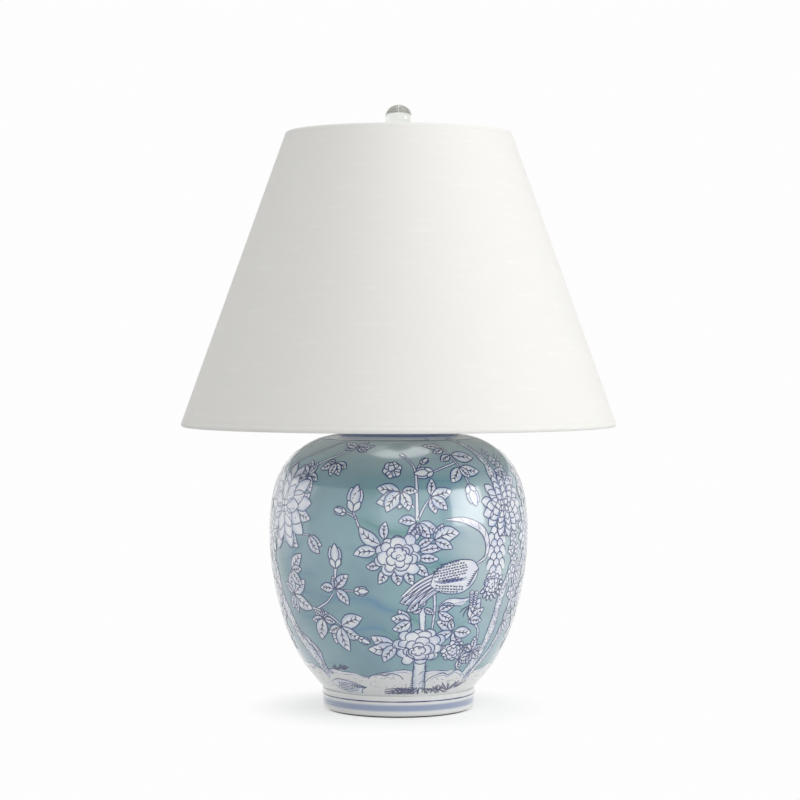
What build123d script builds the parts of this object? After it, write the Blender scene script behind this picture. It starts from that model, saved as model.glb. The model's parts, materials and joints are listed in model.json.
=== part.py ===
from build123d import *
from math import acos, atan2, cos, hypot, pi, sin
import os

# A table lamp on a ginger jar: ceramic jar, hollow rod, lamp holder, harp, cloth shade and finial.
# Sizes in millimetres. +Z is up, the lamp's axis is Z, and Z = 0 is the surface it stands on.
# -Y is the front. The cord enters at the back, +Y.

# ---- Jar: heights are measured from the underside of its foot
BELLY_R = 128.5
BELLY_H = 176.9
UPPER_ARC_R = 187.7          # belly's arc above its widest place
UPPER_ARC_DEG = 12.0
LOWER_ARC_R = 295.7          # belly's arc below its widest place
LOWER_ARC_DEG = 18.6
SHOULDER_H = 271.6           # where the shoulder meets the neck
NECK_R = 60.0
NECK_H = 14.0
NECK_BLEND = 2.5             # hollow corner between shoulder and neck
RIM_ROUND = 1.6
FOOT_BOTTOM_R = 74.8
FOOT_TOP_R = 76.3
FOOT_H = 20.0
FOOT_EDGE_ROUND = 3.2
FOOT_LIP_ROUND = 1.0
WAIST_STEP = 1.7             # how far the foot's lip stands out from the body above it
JAR_WALL = 6.0
NECK_WALL = 5.6
FOOT_WALL = 9.0
RECESS_H = 16.6              # height of the hollow under the jar
FLOOR = 7.0
ROD_HOLE_GAP = 0.6

# ---- Felt ring under the foot
FELT = 1.4
FELT_INSET = 4.5
FELT_WIDTH = 7.0

# ---- Cord gland in the foot's wall
GLAND_H = 9.2                # height of its centre above the underside of the foot
GLAND_BORE_R = 3.3
GLAND_WALL = 1.4
GLAND_FLANGE_R = 6.4
GLAND_FLANGE = 1.6
GLAND_BARB = 0.9
GLAND_BARB_LENGTH = 1.5
GLAND_EASE = 0.1

# ---- Hollow rod and what it clamps
ROD_R = 5.14
ROD_BORE_R = 3.4
ROD_BELOW_NUT = 2.5
ROD_IN_HOLDER = 7.0
THREAD_GAP = 0.05            # between the rod and what is screwed on it
HOLE_GAP = 0.25              # between the rod and what is slipped over it
RUBBER_WASHER_R = 16.0
RUBBER_WASHER = 2.0
STEEL_WASHER_R = 17.5
STEEL_WASHER = 1.6
LOCK_WASHER_R = 8.6
LOCK_WASHER = 1.2
LOCK_TEETH = 12
LOCK_TOOTH = 1.1
NUT_FLATS = 14.3
NUT = 4.0

# ---- Cap over the jar's neck
GASKET = 1.0
GASKET_INSET = 0.9
CAP_METAL = 1.2
CAP_SIDE_GAP = 0.4
CAP_SKIRT = 5.0
CAP_FLAT = 9.5               # width of the flat ring that sits on the gasket
CAP_RISE = 12.0              # from the cap's flat underside to its top
CAP_HUB_R = 13.0
CAP_EDGE_ROUND = 2.0
CAP_HUB_ROUND = 9.0

# ---- Neck tube and harp saddle
NECK_TUBE_R = 8.0
NECK_TUBE_WALL = 1.0
NECK_TUBE_H = 28.0
SADDLE = 1.6                 # thickness of the stamped bar
SADDLE_DISC_R = 10.5
SADDLE_BAR_WIDTH = 9.0
TONGUE_X = 28.0              # from the axis to the middle of each upright tongue
TONGUE_WIDTH = 4.0
TONGUE_H = 12.0

# ---- Bulb
BULB_R = 30.0
BULB_LENGTH = 108.0
BULB_GLASS = 0.9
BULB_NECK_R = 12.6
BULB_NECK_ROUND = 22.0
BULB_BASE_R = 13.2
BULB_BASE_H = 24.0
BULB_BASE_METAL = 0.5
BULB_GROOVE = 0.35
BULB_THREAD_PITCH = 3.6
BULB_THREADS = 5
INSULATOR_H = 3.0
INSULATOR_TOP_R = 9.5
INSULATOR_LOW_R = 5.0
BULB_TIP_R = 4.2
BULB_TIP_H = 1.6
STEM_FLARE_R = 11.2
STEM_FLARE_H = 5.0
STEM_R = 2.6
STEM_H = 38.0
LEAD_WIRE_R = 0.5
LEAD_SPREAD = 9.0
LEAD_RISE = 12.0
FILAMENT_R = 0.8

# ---- Lamp holder, from the bulb's base outwards
HOLDER_H = 66.0
SCREW_SHELL_GAP = 0.3
SCREW_SHELL_METAL = 0.5
SCREW_SHELL_H = 22.0
SCREW_SHELL_FLOOR_R = 5.5
BODY_GAP = 0.3
BODY_SIDE = 1.4              # how far the moulded body stands out from the screw shell
BODY_H = 22.0
BODY_FLAT = 3.2              # depth of the flats for the terminal screws
BODY_FLAT_H = 15.4
LINER_PAPER = 0.8
SHELL_METAL = 0.6
SHELL_LIP = 2.2
SHELL_BEAD = 0.9
CAP_LIP_METAL = 0.8
CAP_LIP_H = 7.0
HOLDER_SNUG = 0.08
HUB_R = 8.6
HUB_H = 7.6
HUB_ROUND = 1.5
HUB_METAL = 1.5
HOLDER_CAP_ROUND = 3.0
HOLDER_CAP_H = 25.0
CONTACT_R = 4.0
CONTACT_TOP_R = 2.4
CONTACT_H = 1.4
TERMINAL_HEAD_R = 2.8
TERMINAL_HEAD = 1.6
TERMINAL_SHANK_R = 1.4
TERMINAL_SHANK = 4.0
SET_SCREW_R = 1.6
SET_SCREW_HEAD_R = 2.6
SET_SCREW_HEAD = 3.0
SCREW_SLOT = 0.6
SWITCH_SHAFT_R = 2.0
SWITCH_SHAFT_IN = 3.0        # from the axis to the shaft's inner end
SWITCH_SHAFT_OUT = 15.0      # how far the shaft stands out of the shell
SWITCH_HOLE_GAP = 1.0
KNOB_R = 6.0
KNOB_LENGTH = 15.0
KNOB_GAP = 2.4               # from the shell to the knob
KNOB_END = 2.0
KNOB_FLUTES = 10
KNOB_FLUTE_R = 1.1
RUNNING = 0.05               # running clearance of what turns or slides

# ---- Harp
HARP_H = 228.6
HARP_WIRE_R = 1.7
HARP_SPREAD = 58.0
HARP_STRAIGHT = 42.0         # straight stretch of each leg above the saddle
HARP_WIDE_LOW = 90.0         # heights above the saddle where the bow is at its widest
HARP_WIDE_HIGH = 170.0
HARP_CROWN_X = 34.0
HARP_BENDS = (60.0, 90.0, 120.0, 40.0)
HARP_FOOT_R = 3.4
HARP_FOOT_H = 14.0
SLOT_GAP = 0.15
FERRULE_R = 4.7
FERRULE_H = 9.0
FERRULE_TAPER = 0.8
FERRULE_EDGE_ROUND = 0.4
FERRULE_SIDE_ROUND = 2.0
SEAT_LENGTH = 20.0
SEAT_WIDTH = 11.0
REST_GAP = 0.3

# ---- Swivelling stud on the harp
STUD_R = 3.17
STUD_SHANK_R = 2.45
STUD_HEAD_R = 4.2
STUD_HEAD = 1.5
STUD_COLLAR_R = 8.0
STUD_COLLAR = 1.8
STUD_H = 12.0

# ---- Shade: outside sizes over the cloth
SHADE_BOTTOM_R = 216.0
SHADE_TOP_R = 112.6
SHADE_H = 291.9
CLOTH = 0.6
LINER = 0.45
SNUG = 0.06                  # between the layers of the shade
RING_WIRE_R = 1.6
RING_SNUG = 0.3              # between a ring's wire and the cloth rolled round it
LINER_MARGIN = 0.35          # from each ring's wire to the liner's edge
HEM = 10.0
SPIDER_RECESS = 8.6          # from the shade's top down to the hub's top
SPIDER_HUB_R = 12.5
SPIDER_HUB = 4.0
SPIDER_HUB_GRIP = 4.5        # length of each arm inside the hub
SPIDER_HOLE_GAP = 0.5
ARM_R = 1.5
ARM_BEND_BACK = 17.0         # from the ring back to the arm's bend
ARM_BEND_R = 18.0
ARM_ANGLES = (90, 210, 330)
ARM_NOTCH = 0.35

# ---- Finial
FINIAL_R = 13.4
FINIAL_BASE_H = 11.0
FINIAL_FLANGE_R = 8.0
FINIAL_FLANGE = 2.0
FINIAL_WAIST_R = 5.4
FINIAL_CUP_R = 8.4
FINIAL_CUP_H = 3.6
FINIAL_SINK = 1.4            # how far the ball sits down in its cup
FINIAL_ROUND = 0.6
FINIAL_WAIST_ROUND = 1.2
FINIAL_CUP_ROUND = 1.0
FINIAL_BORE_SPARE = 0.6
PEG_R = 3.0
PEG_H = 7.0
SCREW_GAP = 0.08             # between the stud and the finial's bore
GLUE = 0.05

# ---- Heights and radii that follow from the sizes above
jar_base = FELT
foot_top = jar_base + FOOT_H
floor_under = jar_base + RECESS_H
floor_top = floor_under + FLOOR
belly_z = jar_base + BELLY_H
shoulder_z = jar_base + SHOULDER_H
rim_z = shoulder_z + NECK_H
waist_r = FOOT_TOP_R - WAIST_STEP
recess_r = FOOT_BOTTOM_R - FOOT_WALL
gland_z = jar_base + GLAND_H
gland_foot_r = FOOT_BOTTOM_R + (FOOT_TOP_R - FOOT_BOTTOM_R) * GLAND_H / FOOT_H

rubber_z = floor_under - RUBBER_WASHER
washer_z = rubber_z - STEEL_WASHER
lock_z = washer_z - LOCK_WASHER
nut_z = lock_z - NUT
rod_low = nut_z - ROD_BELOW_NUT

cap_seat_z = rim_z + GASKET
cap_top = cap_seat_z + CAP_RISE
saddle_z = cap_top + NECK_TUBE_H
saddle_top = saddle_z + SADDLE
rod_high = saddle_top + ROD_IN_HOLDER

screw_shell_in = BULB_BASE_R + SCREW_SHELL_GAP
screw_shell_out = screw_shell_in + SCREW_SHELL_METAL
body_r = screw_shell_out + BODY_SIDE
liner_in = body_r + BODY_GAP
liner_out = liner_in + LINER_PAPER
shell_in = liner_out + HOLDER_SNUG
shell_out = shell_in + SHELL_METAL
lip_in = shell_out + HOLDER_SNUG
lip_out = lip_in + CAP_LIP_METAL
holder_top = saddle_top + HOLDER_H
holder_cap_top = saddle_top + HOLDER_CAP_H
shell_low = holder_cap_top - CAP_LIP_H
body_low = shell_low + SHELL_METAL
body_top = body_low + BODY_H
contact_top = body_top + SCREW_SHELL_METAL + CONTACT_H
switch_z = body_low + BODY_H / 2

bulb_low = contact_top
bulb_top = bulb_low + BULB_LENGTH
bulb_centre = bulb_top - BULB_R
insulator_z = bulb_low + BULB_TIP_H
bulb_base_z = insulator_z + INSULATOR_H
bulb_base_top = bulb_base_z + BULB_BASE_H
glass_low = bulb_base_top - BULB_BASE_H / 3

seat_top = saddle_top + HARP_H
seat_low = seat_top - 2 * HARP_WIRE_R
collar_top = seat_top + RUNNING + STUD_COLLAR
stud_top = collar_top + STUD_H
hub_low = collar_top
hub_top = hub_low + SPIDER_HUB
hub_mid = hub_low + SPIDER_HUB / 2

shade_top = hub_top + SPIDER_RECESS
shade_bottom = shade_top - SHADE_H
roll_in = RING_WIRE_R + RING_SNUG
roll_out = roll_in + CLOTH
top_ring_r = SHADE_TOP_R - roll_out
top_ring_z = shade_top - roll_out
bottom_ring_r = SHADE_BOTTOM_R - roll_out
bottom_ring_z = shade_bottom + roll_out

finial_z = hub_top
finial_cup_top = finial_z + FINIAL_BASE_H
ball_z = finial_cup_top - FINIAL_SINK + FINIAL_R
peg_top = finial_cup_top + PEG_H

ON_AXIS = (Align.CENTER, Align.CENTER, Align.MIN)


# ---- Shop helpers
def bar(radius, low, high):
    """A round bar on the lamp's axis, from one height to another."""
    return Pos(0, 0, low) * Cylinder(radius, high - low, align=ON_AXIS)


def ring(outer, inner, low, high):
    """A round ring or sleeve on the lamp's axis."""
    return bar(outer, low, high) - bar(inner, low, high)


def turned(*corners):
    """Turn a closed outline about the axis. Each corner is (radius, height, rounding)."""
    points = [(radius, height) for radius, height, _ in corners]
    outline = FilletPolyline(*points, radius=[rounding for *_, rounding in corners], close=True)
    return revolve(Plane.XZ * make_face(outline), Axis.Z)


def revolved(edges):
    """Turn a closed row of edges about the axis."""
    return revolve(Plane.XZ * make_face(edges), Axis.Z)


def front_bar(radius, start, end, height):
    """A round bar that points to the front, from one distance ahead of the axis to another."""
    return Pos(0, -start, height) * Rot(90, 0, 0) * Cylinder(radius, end - start, align=ON_AXIS)


def back_bar(radius, start, end, height):
    """A round bar that points to the back."""
    return Pos(0, start, height) * Rot(-90, 0, 0) * Cylinder(radius, end - start, align=ON_AXIS)


def wire(path, radius):
    """A round wire along a path."""
    return sweep(Plane(origin=path @ 0, z_dir=path % 0) * Circle(radius), path=path)


# ---- Jar
def belly(inset, low_end, high_end):
    """The jar's round side from its foot to its neck, as four tangent arcs, moved in by a wall."""
    widest = (BELLY_R - inset, belly_z)
    low_near = JernArc(widest, (0, -1), LOWER_ARC_R - inset, -LOWER_ARC_DEG)
    low_far = TangentArc(low_near @ 1, low_end, tangent=low_near % 1)
    high_near = JernArc(widest, (0, 1), UPPER_ARC_R - inset, UPPER_ARC_DEG)
    high_far = TangentArc(high_near @ 1, high_end, tangent=high_near % 1)
    return [low_far, low_near, high_near, high_far]


def jar_outside():
    foot = FilletPolyline(
        (0, jar_base), (FOOT_BOTTOM_R, jar_base), (FOOT_TOP_R, foot_top), (waist_r, foot_top),
        radius=[FOOT_EDGE_ROUND, FOOT_LIP_ROUND],
    )
    neck_foot, rim = (NECK_R, shoulder_z), (NECK_R, rim_z)
    neck = Polyline(neck_foot, rim, (0, rim_z), (0, jar_base))
    outline = make_face(foot.edges() + belly(0, (waist_r, foot_top), neck_foot) + neck.edges())
    outline = fillet(outline.vertices().sort_by_distance(neck_foot)[0], NECK_BLEND)
    outline = fillet(outline.vertices().sort_by_distance(rim)[0], RIM_ROUND)
    return revolve(Plane.XZ * outline, Axis.Z)


def jar_inside():
    floor_edge = (waist_r - JAR_WALL, floor_top)
    neck_edge = (NECK_R - NECK_WALL, shoulder_z - JAR_WALL)
    closing = Polyline(neck_edge, (neck_edge[0], rim_z), (0, rim_z), (0, floor_top), floor_edge)
    return revolved(belly(JAR_WALL, floor_edge, neck_edge) + closing.edges())


def jar():
    body = jar_outside() - jar_inside() - bar(recess_r, jar_base, floor_under)
    body -= bar(ROD_R + ROD_HOLE_GAP, floor_under, floor_top)
    return body - back_bar(gland_hole_r(), 0, gland_foot_r + GLAND_FLANGE, gland_z)


def felt_pad():
    outer = FOOT_BOTTOM_R - FELT_INSET
    return ring(outer, outer - FELT_WIDTH, 0, FELT)


# ---- Cord gland
def gland_hole_r():
    return GLAND_BORE_R + GLAND_WALL + GLAND_EASE


def gland_ends():
    """Distances behind the axis where the gland starts and ends."""
    return recess_r - GLAND_BARB_LENGTH - GLAND_BARB, gland_foot_r + GLAND_FLANGE


def cord_gland():
    start, end = gland_ends()
    sleeve_r = GLAND_BORE_R + GLAND_WALL
    barb = back_bar(sleeve_r + GLAND_BARB, start, start + GLAND_BARB_LENGTH, gland_z)
    flange = back_bar(GLAND_FLANGE_R, recess_r, end, gland_z)
    flange = chamfer(flange.edges().sort_by(Axis.Y)[-1], GLAND_FLANGE / 3)
    foot = Pos(0, 0, jar_base) * Cone(
        FOOT_BOTTOM_R + RUNNING, FOOT_TOP_R + RUNNING, FOOT_H, align=ON_AXIS
    )
    body = (flange - foot) + back_bar(sleeve_r, start, end - GLAND_FLANGE, gland_z) + barb
    return body - back_bar(GLAND_BORE_R, start, end, gland_z)


# ---- Rod and the stack under the jar's floor
def threaded_rod():
    return ring(ROD_R, ROD_BORE_R, rod_low, rod_high)


def base_rubber_washer():
    return ring(RUBBER_WASHER_R, ROD_R + HOLE_GAP, rubber_z, floor_under)


def base_washer():
    washer = ring(STEEL_WASHER_R, ROD_R + HOLE_GAP, washer_z, rubber_z)
    return chamfer(washer.edges().sort_by(Axis.Z)[:2], STEEL_WASHER / 5)


def lock_washer():
    washer = ring(LOCK_WASHER_R, ROD_R + HOLE_GAP, lock_z, washer_z)
    notch = Pos(LOCK_WASHER_R, 0, lock_z) * Cylinder(LOCK_TOOTH / 2, LOCK_WASHER, align=ON_AXIS)
    return washer - [Rot(0, 0, 360 / LOCK_TEETH * i) * notch for i in range(LOCK_TEETH)]


def base_nut():
    hexagon = RegularPolygon(NUT_FLATS / 2, 6, major_radius=False)
    nut = Pos(0, 0, nut_z) * extrude(hexagon, NUT)
    corners = NUT_FLATS / 2 + NUT / 3
    nut &= Pos(0, 0, nut_z) * Cone(NUT_FLATS / 2, NUT_FLATS / 2 + NUT, NUT, align=ON_AXIS) + bar(
        corners, nut_z + NUT / 3, lock_z
    )
    return nut - bar(ROD_R + THREAD_GAP, nut_z, lock_z)


# ---- Cap, neck tube and saddle
def cap_gasket():
    outer = NECK_R - GASKET_INSET
    return ring(outer, NECK_R - NECK_WALL + GASKET_INSET, rim_z, cap_seat_z)


def vase_cap():
    side_in = NECK_R + CAP_SIDE_GAP
    side_out = side_in + CAP_METAL
    flat_r = side_in - CAP_FLAT
    skirt_z = rim_z - CAP_SKIRT
    bore = ROD_R + HOLE_GAP
    return turned(
        (bore, cap_top, 0), (CAP_HUB_R, cap_top, CAP_HUB_ROUND),
        (flat_r, cap_seat_z + CAP_METAL, CAP_HUB_ROUND),
        (side_out, cap_seat_z + CAP_METAL, CAP_EDGE_ROUND), (side_out, skirt_z, 0), (side_in, skirt_z, 0),
        (side_in, cap_seat_z, CAP_EDGE_ROUND / 4), (flat_r, cap_seat_z, CAP_HUB_ROUND + CAP_METAL),
        (CAP_HUB_R, cap_top - CAP_METAL, CAP_HUB_ROUND - CAP_METAL), (bore, cap_top - CAP_METAL, 0),
    )


def neck_tube():
    return ring(NECK_TUBE_R, NECK_TUBE_R - NECK_TUBE_WALL, cap_top, saddle_z)


def harp_saddle():
    half = TONGUE_X + SADDLE / 2
    plate = Box(2 * half, SADDLE_BAR_WIDTH, SADDLE, align=ON_AXIS)
    plate += Cylinder(SADDLE_DISC_R, SADDLE, align=ON_AXIS)
    tongue = Box(SADDLE, TONGUE_WIDTH, SADDLE + TONGUE_H, align=ON_AXIS)
    tongue = chamfer(tongue.edges().filter_by(Axis.X).group_by(Axis.Z)[-1], TONGUE_WIDTH / 4)
    plate = Pos(0, 0, saddle_z) * (plate + [Pos(x, 0, 0) * tongue for x in (-TONGUE_X, TONGUE_X)])
    return plate - bar(ROD_R + HOLE_GAP, saddle_z, saddle_top)


# ---- Lamp holder
def socket_cap():
    shoulder = shell_low - CAP_LIP_METAL
    throat = ROD_R + THREAD_GAP
    hub_top_z = saddle_top + HUB_H
    outside = turned(
        (throat, saddle_top, 0), (HUB_R, saddle_top, 0), (HUB_R, hub_top_z - CAP_LIP_METAL, HUB_ROUND),
        (lip_out, shoulder, HOLDER_CAP_ROUND), (lip_out, holder_cap_top, 0), (lip_in, holder_cap_top, 0),
        (lip_in, shell_low, 0), (lip_in - SHELL_LIP, shell_low, 0), (throat + HUB_METAL, hub_top_z, 0),
        (throat, hub_top_z, 0),
    )
    return outside - back_bar(SET_SCREW_R + THREAD_GAP, throat / 2, HUB_R, set_screw_z())


def set_screw_z():
    return saddle_top + SET_SCREW_HEAD_R + HOLE_GAP


def socket_set_screw():
    head_at = HUB_R + REST_GAP
    screw = back_bar(SET_SCREW_R, ROD_R + RUNNING, head_at, set_screw_z())
    head = back_bar(SET_SCREW_HEAD_R, head_at, head_at + SET_SCREW_HEAD, set_screw_z())
    slot = Pos(0, head_at + SET_SCREW_HEAD, set_screw_z()) * Box(
        2 * SET_SCREW_HEAD_R, 2 * SCREW_SLOT, SCREW_SLOT
    )
    return screw + head - slot


def switch_hole():
    """The way through the holder's shell and liner for the switch's shaft."""
    return front_bar(SWITCH_SHAFT_R + SWITCH_HOLE_GAP, liner_in - BODY_GAP, lip_out, switch_z)


def socket_shell():
    shell = turned(
        (shell_out, shell_low, SHELL_METAL), (shell_out, holder_top - 2 * SHELL_BEAD, 0),
        (shell_out + SHELL_BEAD, holder_top - SHELL_BEAD, SHELL_BEAD / 2), (shell_out, holder_top, 0),
        (shell_in, holder_top, 0), (shell_in, shell_low + SHELL_METAL, 0),
        (lip_in - SHELL_LIP, shell_low + SHELL_METAL, 0), (lip_in - SHELL_LIP, shell_low, 0),
    )
    return shell - switch_hole()


def socket_liner():
    return ring(liner_out, liner_in, body_low, holder_top - SHELL_BEAD) - switch_hole()


def socket_body():
    body = bar(body_r, body_low, body_top)
    flat = Box(BODY_FLAT, 2 * body_r, BODY_FLAT_H, align=(Align.MAX, Align.CENTER, Align.MIN))
    for turn in (0, 180):
        body -= Rot(0, 0, turn) * Pos(body_r, 0, body_low) * flat
    body -= front_bar(SWITCH_SHAFT_R + RUNNING, SWITCH_SHAFT_IN - REST_GAP, body_r, switch_z)
    for turn in (0, 180):
        body -= Rot(0, 0, turn) * terminal_screw(THREAD_GAP)
    return body


def terminal_screw(ease=0.0):
    """The +X terminal screw. With an ease it is the hole for the screw."""
    seat = body_r - BODY_FLAT
    at = Pos(seat, 0, body_low + BODY_FLAT_H / 2) * Rot(0, 90, 0)
    head = at * Cylinder(TERMINAL_HEAD_R + ease, TERMINAL_HEAD, align=ON_AXIS)
    shank_at = at * Pos(0, 0, -TERMINAL_SHANK)
    return head + shank_at * Cylinder(TERMINAL_SHANK_R + ease, TERMINAL_SHANK, align=ON_AXIS)


def terminal_screws():
    return Compound([Rot(0, 0, turn) * terminal_screw() for turn in (0, 180)])


def screw_shell():
    floor = body_top + SCREW_SHELL_METAL
    side = ring(screw_shell_out, screw_shell_in, body_top, body_top + SCREW_SHELL_H)
    return side + ring(screw_shell_out, SCREW_SHELL_FLOOR_R, body_top, floor)


def centre_contact():
    return turned(
        (0, body_top, 0), (CONTACT_R, body_top, 0), (CONTACT_R, contact_top - CONTACT_H / 2, 0),
        (CONTACT_TOP_R, contact_top, 0), (0, contact_top, 0),
    )


def switch_shaft():
    return front_bar(SWITCH_SHAFT_R, SWITCH_SHAFT_IN, shell_out + SWITCH_SHAFT_OUT, switch_z)


def switch_knob():
    start = shell_out + KNOB_GAP
    end = start + KNOB_LENGTH
    knob = front_bar(KNOB_R, start, end, switch_z)
    knob = fillet(knob.edges().filter_by(GeomType.CIRCLE).sort_by(Axis.Y)[0], KNOB_R / 4)
    for i in range(KNOB_FLUTES):
        angle = 2 * pi / KNOB_FLUTES * (i + 0.5)
        at = (KNOB_R + KNOB_FLUTE_R / 3) * Vector(cos(angle), 0, sin(angle))
        knob -= Pos(at) * front_bar(KNOB_FLUTE_R, start + KNOB_END, end, switch_z)
    return knob - front_bar(SWITCH_SHAFT_R, start, shell_out + SWITCH_SHAFT_OUT, switch_z)


# ---- Bulb
def bulb_surface(inset):
    """Half of the bulb's outline on a radius smaller by an inset, closed along the axis."""
    neck_r, round_r = BULB_NECK_R - inset, BULB_R - inset
    low, top = (neck_r, glass_low), (0, bulb_centre + round_r)
    knee = (neck_r, bulb_base_top + BULB_BASE_H / 6)
    reach = hypot(knee[0], bulb_centre - knee[1])
    lean = acos(round_r / reach) - atan2(bulb_centre - knee[1], knee[0])
    touch = (round_r * cos(lean), bulb_centre + round_r * sin(lean))
    middle = (lean + pi / 2) / 2
    crown = ThreePointArc(touch, (round_r * cos(middle), bulb_centre + round_r * sin(middle)), top)
    side = FilletPolyline(low, knee, touch, radius=[BULB_NECK_ROUND])
    return side.edges() + [crown, Line(top, (0, glass_low)), Line((0, glass_low), low)]


def bulb_glass():
    return revolved(bulb_surface(0)) - revolved(bulb_surface(BULB_GLASS))


def bulb_base():
    body = ring(BULB_BASE_R, BULB_NECK_R + GLUE, bulb_base_z, bulb_base_top)
    body += ring(BULB_NECK_R + GLUE, INSULATOR_TOP_R, bulb_base_z, bulb_base_z + BULB_BASE_METAL)
    for i in range(BULB_THREADS):
        groove_z = bulb_base_z + BULB_THREAD_PITCH * (i + 1)
        body -= Pos(0, 0, groove_z) * Torus(BULB_BASE_R + BULB_GROOVE, 2 * BULB_GROOVE)
    return body


def bulb_insulator():
    cone = Pos(0, 0, insulator_z) * Cone(
        INSULATOR_LOW_R, INSULATOR_TOP_R, INSULATOR_H, align=ON_AXIS
    )
    return cone + bar(INSULATOR_TOP_R - GLUE, bulb_base_z, bulb_base_z + BULB_BASE_METAL)


def bulb_tip():
    return turned(
        (0, bulb_low, 0), (BULB_TIP_R / 2, bulb_low, 0), (BULB_TIP_R, insulator_z - BULB_TIP_H / 3, 0),
        (BULB_TIP_R, insulator_z, 0), (0, insulator_z, 0),
    )


def bulb_stem():
    flare = Pos(0, 0, glass_low) * Cone(STEM_FLARE_R, STEM_R, STEM_FLARE_H, align=ON_AXIS)
    return flare + bar(STEM_R, glass_low, glass_low + STEM_H)


def bulb_filament():
    root = glass_low + STEM_H
    tips = [(x, 0, root + LEAD_RISE) for x in (-LEAD_SPREAD, LEAD_SPREAD)]
    leads = Polyline(tips[0], (-STEM_R / 2, 0, root), (STEM_R / 2, 0, root), tips[1])
    lead_wire = Plane(origin=tips[0], z_dir=leads % 0) * Circle(LEAD_WIRE_R)
    frame = sweep(lead_wire, path=leads, transition=Transition.ROUND)
    frame += Pos(0, 0, LEAD_WIRE_R) * (frame & bar(STEM_R, root - LEAD_WIRE_R, root))
    coil = Pos(-LEAD_SPREAD, 0, root + LEAD_RISE) * Rot(0, 90, 0) * Cylinder(
        FILAMENT_R, 2 * LEAD_SPREAD, align=ON_AXIS
    )
    return frame + coil - bar(STEM_R, glass_low, root)


# ---- Harp
def harp_path():
    """The bow's centre line from one foot, over the crown, to the other foot."""
    crown_z = seat_top - HARP_WIRE_R
    leg = [
        (TONGUE_X, saddle_top + HARP_FOOT_H), (TONGUE_X, saddle_top + HARP_STRAIGHT),
        (HARP_SPREAD, saddle_top + HARP_WIDE_LOW), (HARP_SPREAD, saddle_top + HARP_WIDE_HIGH),
        (HARP_CROWN_X, crown_z),
    ]
    other = [(-x, z) for x, z in reversed(leg)]
    bends = [*HARP_BENDS, *reversed(HARP_BENDS)]
    return Plane.XZ * FilletPolyline(*leg, *other, radius=bends)


def harp():
    path = harp_path()
    bow = wire(path, HARP_WIRE_R)
    seat = Pos(0, 0, seat_low) * Box(SEAT_LENGTH, SEAT_WIDTH, 2 * HARP_WIRE_R, align=ON_AXIS)
    seat = fillet(seat.edges().filter_by(Axis.Z), SEAT_WIDTH / 3)
    foot = bar(HARP_FOOT_R, saddle_top, saddle_top + HARP_FOOT_H + HARP_WIRE_R)
    foot = chamfer(foot.edges().sort_by(Axis.Z)[-1], HARP_WIRE_R)
    slot = Pos(0, 0, saddle_top) * Box(
        SADDLE + 2 * SLOT_GAP, TONGUE_WIDTH + 2 * SLOT_GAP, TONGUE_H + SLOT_GAP, align=ON_AXIS
    )
    feet = [Pos(x, 0, 0) * (foot - slot) for x in (-TONGUE_X, TONGUE_X)]
    bow = bow + seat + feet
    return bow - bar(STUD_SHANK_R + RUNNING, seat_low, seat_top)


def harp_ferrule(side):
    low = saddle_top + REST_GAP
    bore = HARP_FOOT_R + RUNNING
    sleeve = turned(
        (bore, low, 0), (FERRULE_R, low, FERRULE_EDGE_ROUND),
        (FERRULE_R, low + FERRULE_H / 2, FERRULE_SIDE_ROUND),
        (FERRULE_R - FERRULE_TAPER, low + FERRULE_H, 0), (bore, low + FERRULE_H, 0),
    )
    return Pos(side * TONGUE_X, 0, 0) * sleeve


def harp_stud():
    head_top = seat_low - RUNNING
    collar_low = seat_top + RUNNING
    stud = bar(STUD_SHANK_R, head_top - STUD_HEAD, collar_low) + bar(STUD_COLLAR_R, collar_low, collar_top)
    head = bar(STUD_HEAD_R, head_top - STUD_HEAD, head_top)
    head = fillet(head.edges().sort_by(Axis.Z)[0], STUD_HEAD / 2)
    post = bar(STUD_R, collar_top, stud_top)
    return stud + head + chamfer(post.edges().sort_by(Axis.Z)[-1], STUD_R / 5)


# ---- Shade
low_ring = Vector(bottom_ring_r, bottom_ring_z)
high_ring = Vector(top_ring_r, top_ring_z)
slant = (high_ring - low_ring).normalized()
outward = Vector(slant.Y, -slant.X)
liner_face = roll_in - SNUG - LINER      # the liner's inner face, outward from the rings' line


def rolled_edge(centre, into):
    """Cloth that goes round a ring's wire and turns in as a hem. `into` points into the shade."""
    tip_out = liner_face - SNUG
    end = atan2(tip_out, HEM) - acos(roll_in / hypot(HEM, tip_out))
    angles = (pi / 2, (pi / 2 + end) / 2 + pi, end)

    def arc(radius):
        return ThreePointArc(
            *[centre + into * (radius * cos(a)) + outward * (radius * sin(a)) for a in angles]
        )

    outer, inner = arc(roll_out), arc(roll_in)
    tip = centre + into * HEM + outward * tip_out
    far_tip = tip + (into * cos(end) + outward * sin(end)) * CLOTH
    return [outer, Line(outer @ 1, far_tip), Line(far_tip, tip), Line(tip, inner @ 1), inner]


def shade_fabric():
    low, high = rolled_edge(low_ring, slant), rolled_edge(high_ring, -slant)
    sides = [Line(low[i] @ 0, high[i] @ 0) for i in (0, -1)]
    cloth = revolved(low + high + sides)
    return cloth - [spider_arm(angle, ARM_R + ARM_NOTCH) for angle in ARM_ANGLES]


def shade_liner():
    margin = RING_WIRE_R + LINER_MARGIN
    corners = [
        ring_at + into * margin + outward * face
        for ring_at, into, faces in (
            (low_ring, slant, (liner_face, liner_face + LINER)),
            (high_ring, -slant, (liner_face + LINER, liner_face)),
        )
        for face in faces
    ]
    return revolved(Polyline(*corners, close=True).edges())


def shade_ring(radius, height):
    return Pos(0, 0, height) * Torus(radius, RING_WIRE_R)


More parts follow.
